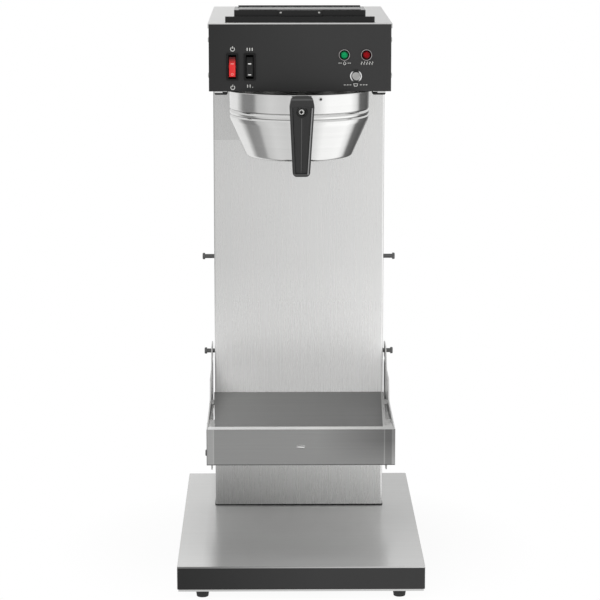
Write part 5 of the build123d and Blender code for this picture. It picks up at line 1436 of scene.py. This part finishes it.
class BREWER_OT_panel_marks(bpy.types.Operator):
    """Print plain marks on the panel: power rings, level bars, a drop, heat waves and a cup"""
    bl_idname = "brewer.panel_marks"
    bl_label = "Panel marks"

    def execute(self, context):
        face = span("front_panel")[0][1] - 0.06
        lamp_line = 663.8
        button_line = 636.2
        filling = 56.5
        heating = 84.8
        button = 70.5
        strokes = [
            *power_ring(-85.4, 682.0),
            *power_ring(-85.3, 633.4),
            *level_bars(-63.7, 681.3, 3),
            *level_bars(-63.3, 634.8, 2),
            *dashes(filling, lamp_line, (-7.0, -4.6, 4.6, 7.0), 1.6, 0.8),
            *water_drop(filling, lamp_line - 0.6),
            *heat_waves(heating, lamp_line),
            *cup(button, button_line),
            *dashes(button, button_line, (-13.8, -10.2, -6.6, 6.6, 10.2, 13.8), 2.2, 0.9),
        ]
        marks = Skin()
        for path, width, *closed in strokes:
            stroke(marks, path, width, face, *closed)
        marks.make("panel_marks", ink("panel_ink", (0.62, 0.62, 0.60)), "brewer_body", "white_plastic")
        return {"FINISHED"}


class BREWER_OT_trims(bpy.types.Operator):
    """Make the dark bead of painted shadow round the column's foot, the bright strips at the rails' ends, the
    tray's tongue and the painted light at its ends
    """
    bl_idname = "brewer.trims"
    bl_label = "Trims"

    def execute(self, context):
        self.bead()
        self.strips()
        self.tongue()
        self.corners()
        return {"FINISHED"}

    def bead(self):
        """A dark bead with an oval section, carried round the front and sides of the column's foot. It is
        painted shadow for the gap between the column and the base.
        """
        low, high = span("column_shell")
        half = high[0]
        rear = high[1] - 1.0
        path = rounded([(half, rear), (half, low[1]), (-half, low[1]), (-half, rear)], [2.4, 2.4], 8)
        a = np.linspace(0, FULL_TURN, 12, endpoint=False)
        plan = path[:, None] - outward(path)[:, None] * (0.9 * np.cos(a))[None, :, None]
        level = np.broadcast_to(low[2] + 0.75 + 0.85 * np.sin(a), plan.shape[:2])
        # Painted shadow: a black bead in the gap at the column's foot.
        black = rubber("foot_gap_shadow", (0.012, 0.012, 0.012))
        skin = Skin().tube(np.concatenate([plan, level[..., None]], 2))
        skin.make("column_foot_shadow", black, "brewer_body", "rubber_black", (), 50.0)

    def strips(self):
        """Two bright strips before the front end of each rail: a thin inner one and a deeper outer one. They
        are the rails' steel ends and also painted light where the lit channel behind shows.
        """
        under = span("front_panel")[0][2] - 0.12
        thick = 1.6
        skin = Skin()
        for low, high in solids("funnel_rails"):
            inner, outer = sorted((abs(low[0]), abs(high[0])))
            sign = 1.0 if high[0] > 0 else -1.0
            for first, last, deep in ((inner + 0.5, inner + 6.0, 0.6), (inner + 6.3, outer - 0.2, 1.9)):
                front = low[1] - 1.75
                back = front + thick
                section = rounded_loop(
                    [(front, under), (front, under - deep), (back, under - deep), (back, under)],
                    [0.2, 0.2, 0.0], 3,
                )
                skin.tube(bar_along_x((sign * last, sign * first), section))
        # Partly painted light: bright steel over the channel behind the rail's end.
        bright = bright_metal("strip_metal_and_light", (0.85, 0.85, 0.84), 0.3)
        skin.make("rail_end_strips", bright, "brewer_body", "steel_inner", (), 30.0)

    def tongue(self):
        """Rounded tongue of the tray that shows in the lower half of the slot in the shelf's front. Its
        ends turn back and grow thinner with the fourth power of their distance from the middle."""
        front = span("shelf_bracket")[0][1] - 0.4
        foot = span("shelf_tray")[1][2] - 23.0
        half = 4.1
        section = rounded_loop([(0.0, 0.0), (0.0, 1.5), (3.0, 1.9), (3.0, 0.0)], [0.5, 0.6, 0.2], 5)
        t = np.linspace(-1, 1, 25)[:, None]
        y = front + section[:, 0] + 0.9 * t ** 4
        z = foot - 0.35 * t + section[:, 1] * (1 - 0.25 * t ** 4)
        bright = bright_metal("tongue_metal", (0.95, 0.95, 0.94), 0.3)
        skin = Skin().tube(np.stack([np.broadcast_to(t * half + 0.1, y.shape), y, z], 2))
        skin.make("tray_tongue", bright, "shelf", "steel_body", (), 30.0)

    def corners(self):
        """Bright plates at the ends of the tray's lip, a thin plate at each front corner, slightly arched:
        painted light over the shaded gaps there.
        """
        low, high = span("shelf_tray")
        arch = 0.25
        half = 5.0
        section = rounded_loop([(9.0, -0.4), (9.0, -1.2), (36.0, -1.6), (36.0, -0.8)], [0.3, 0.3, 0.3], 3)
        skin = Skin()
        for first, last in ((high[0] - 9.6, high[0] - 0.4), (low[0] + 0.4, low[0] + 8.4)):
            x = np.linspace(first, last, 9)[:, None]
            z = high[2] + section[:, 1] - arch * ((np.abs(x) - high[0] + half) / half) ** 2
            y = np.broadcast_to(low[1] + section[:, 0], z.shape)
            skin.tube(np.stack([np.broadcast_to(x, z.shape), y, z], 2))
        # Painted light: bright plates over the shaded corner gaps.
        satin = bright_metal("corner_gap_light", (0.60, 0.60, 0.59), 0.35)
        skin.make("tray_corner_light", satin, "shelf", "steel_body", (), 30.0)


def card_level(g, x, y):
    """Level of the bands round the brewer by compass angle in degrees: 0 is the front, 90 is +X.
    Close to the brewer the bands wash out."""
    angle = g.signal("ShaderNodeMath", 0, {"operation": "ARCTAN2"}, {0: x, 1: 0.0 - y})
    bands = (
        (-180, 0.86), (-124, 0.90), (-105, 0.26), (-80, 0.25), (-73, 0.60), (-48, 0.76), (-22, 0.68),
        (-8, 0.78), (14, 0.80), (28, 0.86), (46, 1.18), (92, 1.20), (108, 0.85), (117, 0.16), (148, 0.10),
        (170, 0.5), (180, 0.86),
    )
    top = 1.3
    stops = [(degrees / 360 + 0.5, level / top) for degrees, level in bands]
    band = g.ramp(angle / FULL_TURN + 0.5, stops) * top
    near = g.clamp(1.1 - (x * x + y * y) * 1.3)
    return band + near * (0.26 - band * 0.35)


def white_to_camera(g, other, white):
    """A shader socket that the camera sees as white, itself or through a lens, and all else as the other."""
    path = g.node("ShaderNodeLightPath")
    seen = Signal(g, path.outputs["Is Camera Ray"]) + Signal(g, path.outputs["Is Transmission Ray"])
    return g.mix_shader(seen, other, white)


def mirrored(g, plain, reflected):
    """A shader socket that shows one face in reflections and another in all else."""
    return g.mix_shader(g.signal("ShaderNodeLightPath", "Is Glossy Ray"), plain, reflected)


class BREWER_OT_stage(bpy.types.Operator):
    """Set up the pale floor, the studio lights and the camera"""
    bl_idname = "brewer.stage"
    bl_label = "Stage"

    def execute(self, context):
        stage = context.scene.brewer_stage
        self.floor()
        self.lamps(stage)
        self.room(context.scene, stage)
        self.camera(context.scene, stage)
        context.scene.view_settings.view_transform = "Standard"
        return {"FINISHED"}

    def camera(self, scene, stage):
        """A long lens high in front of the panel, looking down a little."""
        camera = bpy.data.objects.new("camera", bpy.data.cameras.new("camera"))
        camera.data.lens = stage.lens
        camera.data.sensor_width = 36.0
        camera.data.clip_end = 60.0
        camera.location = stage.camera_place
        ahead = Vector((
            math.sin(stage.yaw) * math.cos(stage.pitch),
            math.cos(stage.yaw) * math.cos(stage.pitch),
            -math.sin(stage.pitch),
        ))
        camera.rotation_euler = ahead.to_track_quat("-Z", "Y").to_euler()
        scene.collection.objects.link(camera)
        scene.camera = camera

    def floor(self):
        """A wide disc, white to the camera, with the brewer's soft shadow close to it. Metal mirrors
        bright and dark bands in it, which run outwards from the middle."""
        reach = np.linspace(0, 1, 24) ** 2 * 20000.0
        skin = Skin().grid(lathe(np.stack([reach, 0 * reach], 1), (0, 0, -0.05), segments=96))
        material, g = finish("floor_white")
        x, y, _ = g.axes()
        far = g.clamp((x * x + y * y) * 1.3 + 0.86)
        bands = g.node("ShaderNodeEmission", None, {"Color": g.shift((1.0, 1.0, 1.0), card_level(g, x, y))})
        matt = g.node("ShaderNodeBsdfDiffuse", None, {"Color": (0.92, 0.92, 0.92, 1.0)}).outputs[0]
        shown = g.mix_shader(far, matt, g.light("ShaderNodeEmission", 1.0))
        shader = white_to_camera(g, mirrored(g, matt, bands.outputs[0]), shown)
        g.node("ShaderNodeOutputMaterial", None, {0: shader})
        floor = bpy.data.objects.new("studio_floor", skin.mesh("studio_floor", material))
        bpy.context.scene.collection.objects.link(floor)

    def lamps(self, stage):
        """Two soft panels: one overhead and one high at the front left."""
        for name, power, size, place, aim in (
            ("top_softbox", stage.top, 2.2, (0.0, -0.5, 2.6), (0.0, 0.0, 0.3)),
            ("front_softbox", stage.front, 2.0, (-1.3, -3.0, 2.2), (0.0, 0.0, 0.35)),
        ):
            data = bpy.data.lights.new(name, "AREA")
            data.shape = "SQUARE"
            data.size = size
            data.energy = power
            lamp = bpy.data.objects.new(name, data)
            lamp.visible_glossy = False
            lamp.location = place
            lamp.rotation_euler = (Vector(aim) - Vector(place)).to_track_quat("-Z", "Y").to_euler()
            bpy.context.scene.collection.objects.link(lamp)

    def room(self, scene, stage):
        """A light tent: even for diffuse light, white to the camera, and a little brighter in reflections."""
        world = bpy.data.worlds.new("light_tent")
        scene.world = world
        g = Graph(world)
        even = g.light("ShaderNodeBackground", stage.room)
        tent = g.light("ShaderNodeBackground", stage.tent)
        white = g.light("ShaderNodeBackground", 1.0)
        g.node("ShaderNodeOutputWorld", None, {0: white_to_camera(g, mirrored(g, even, tent), white)})


class BREWER_PT_sidebar(bpy.types.Panel):
    """Sizes, colours and steps of the coffee brewer"""
    bl_idname = "BREWER_PT_sidebar"
    bl_label = "Coffee Brewer"
    bl_space_type = "VIEW_3D"
    bl_region_type = "UI"
    bl_category = "Brewer"

    def draw(self, context):
        for group in (context.scene.brewer_finishes, context.scene.brewer_funnel, context.scene.brewer_stage):
            box = self.layout.box()
            for name in group.__annotations__:
                box.prop(group, name)
        for operator in OPERATORS:
            self.layout.operator(operator.bl_idname)


OPERATORS = (
    BREWER_OT_sheet_metal,
    BREWER_OT_painted_metal,
    BREWER_OT_moulded_parts,
    BREWER_OT_inner_parts,
    BREWER_OT_brew_funnel,
    BREWER_OT_funnel_handle,
    BREWER_OT_fasteners,
    BREWER_OT_shelf_pins,
    BREWER_OT_feet,
    BREWER_OT_lamps,
    BREWER_OT_brew_button,
    BREWER_OT_rockers,
    BREWER_OT_panel_marks,
    BREWER_OT_trims,
    BREWER_OT_stage,
)
GROUPS = (
    ("brewer_finishes", BrewerFinishes),
    ("brewer_funnel", BrewerFunnel),
    ("brewer_stage", BrewerStage),
)


def register():
    for name, group in GROUPS:
        bpy.utils.register_class(group)
        setattr(bpy.types.Scene, name, PointerProperty(type=group))
    for operator in OPERATORS:
        bpy.utils.register_class(operator)
    bpy.utils.register_class(BREWER_PT_sidebar)


def unregister():
    bpy.utils.unregister_class(BREWER_PT_sidebar)
    for operator in reversed(OPERATORS):
        bpy.utils.unregister_class(operator)
    for name, group in reversed(GROUPS):
        delattr(bpy.types.Scene, name)
        bpy.utils.unregister_class(group)


def main():
    register()
    for operator in OPERATORS:
        group, name = operator.bl_idname.split(".")
        getattr(getattr(bpy.ops, group), name)()


if __name__ == "__main__":
    main()
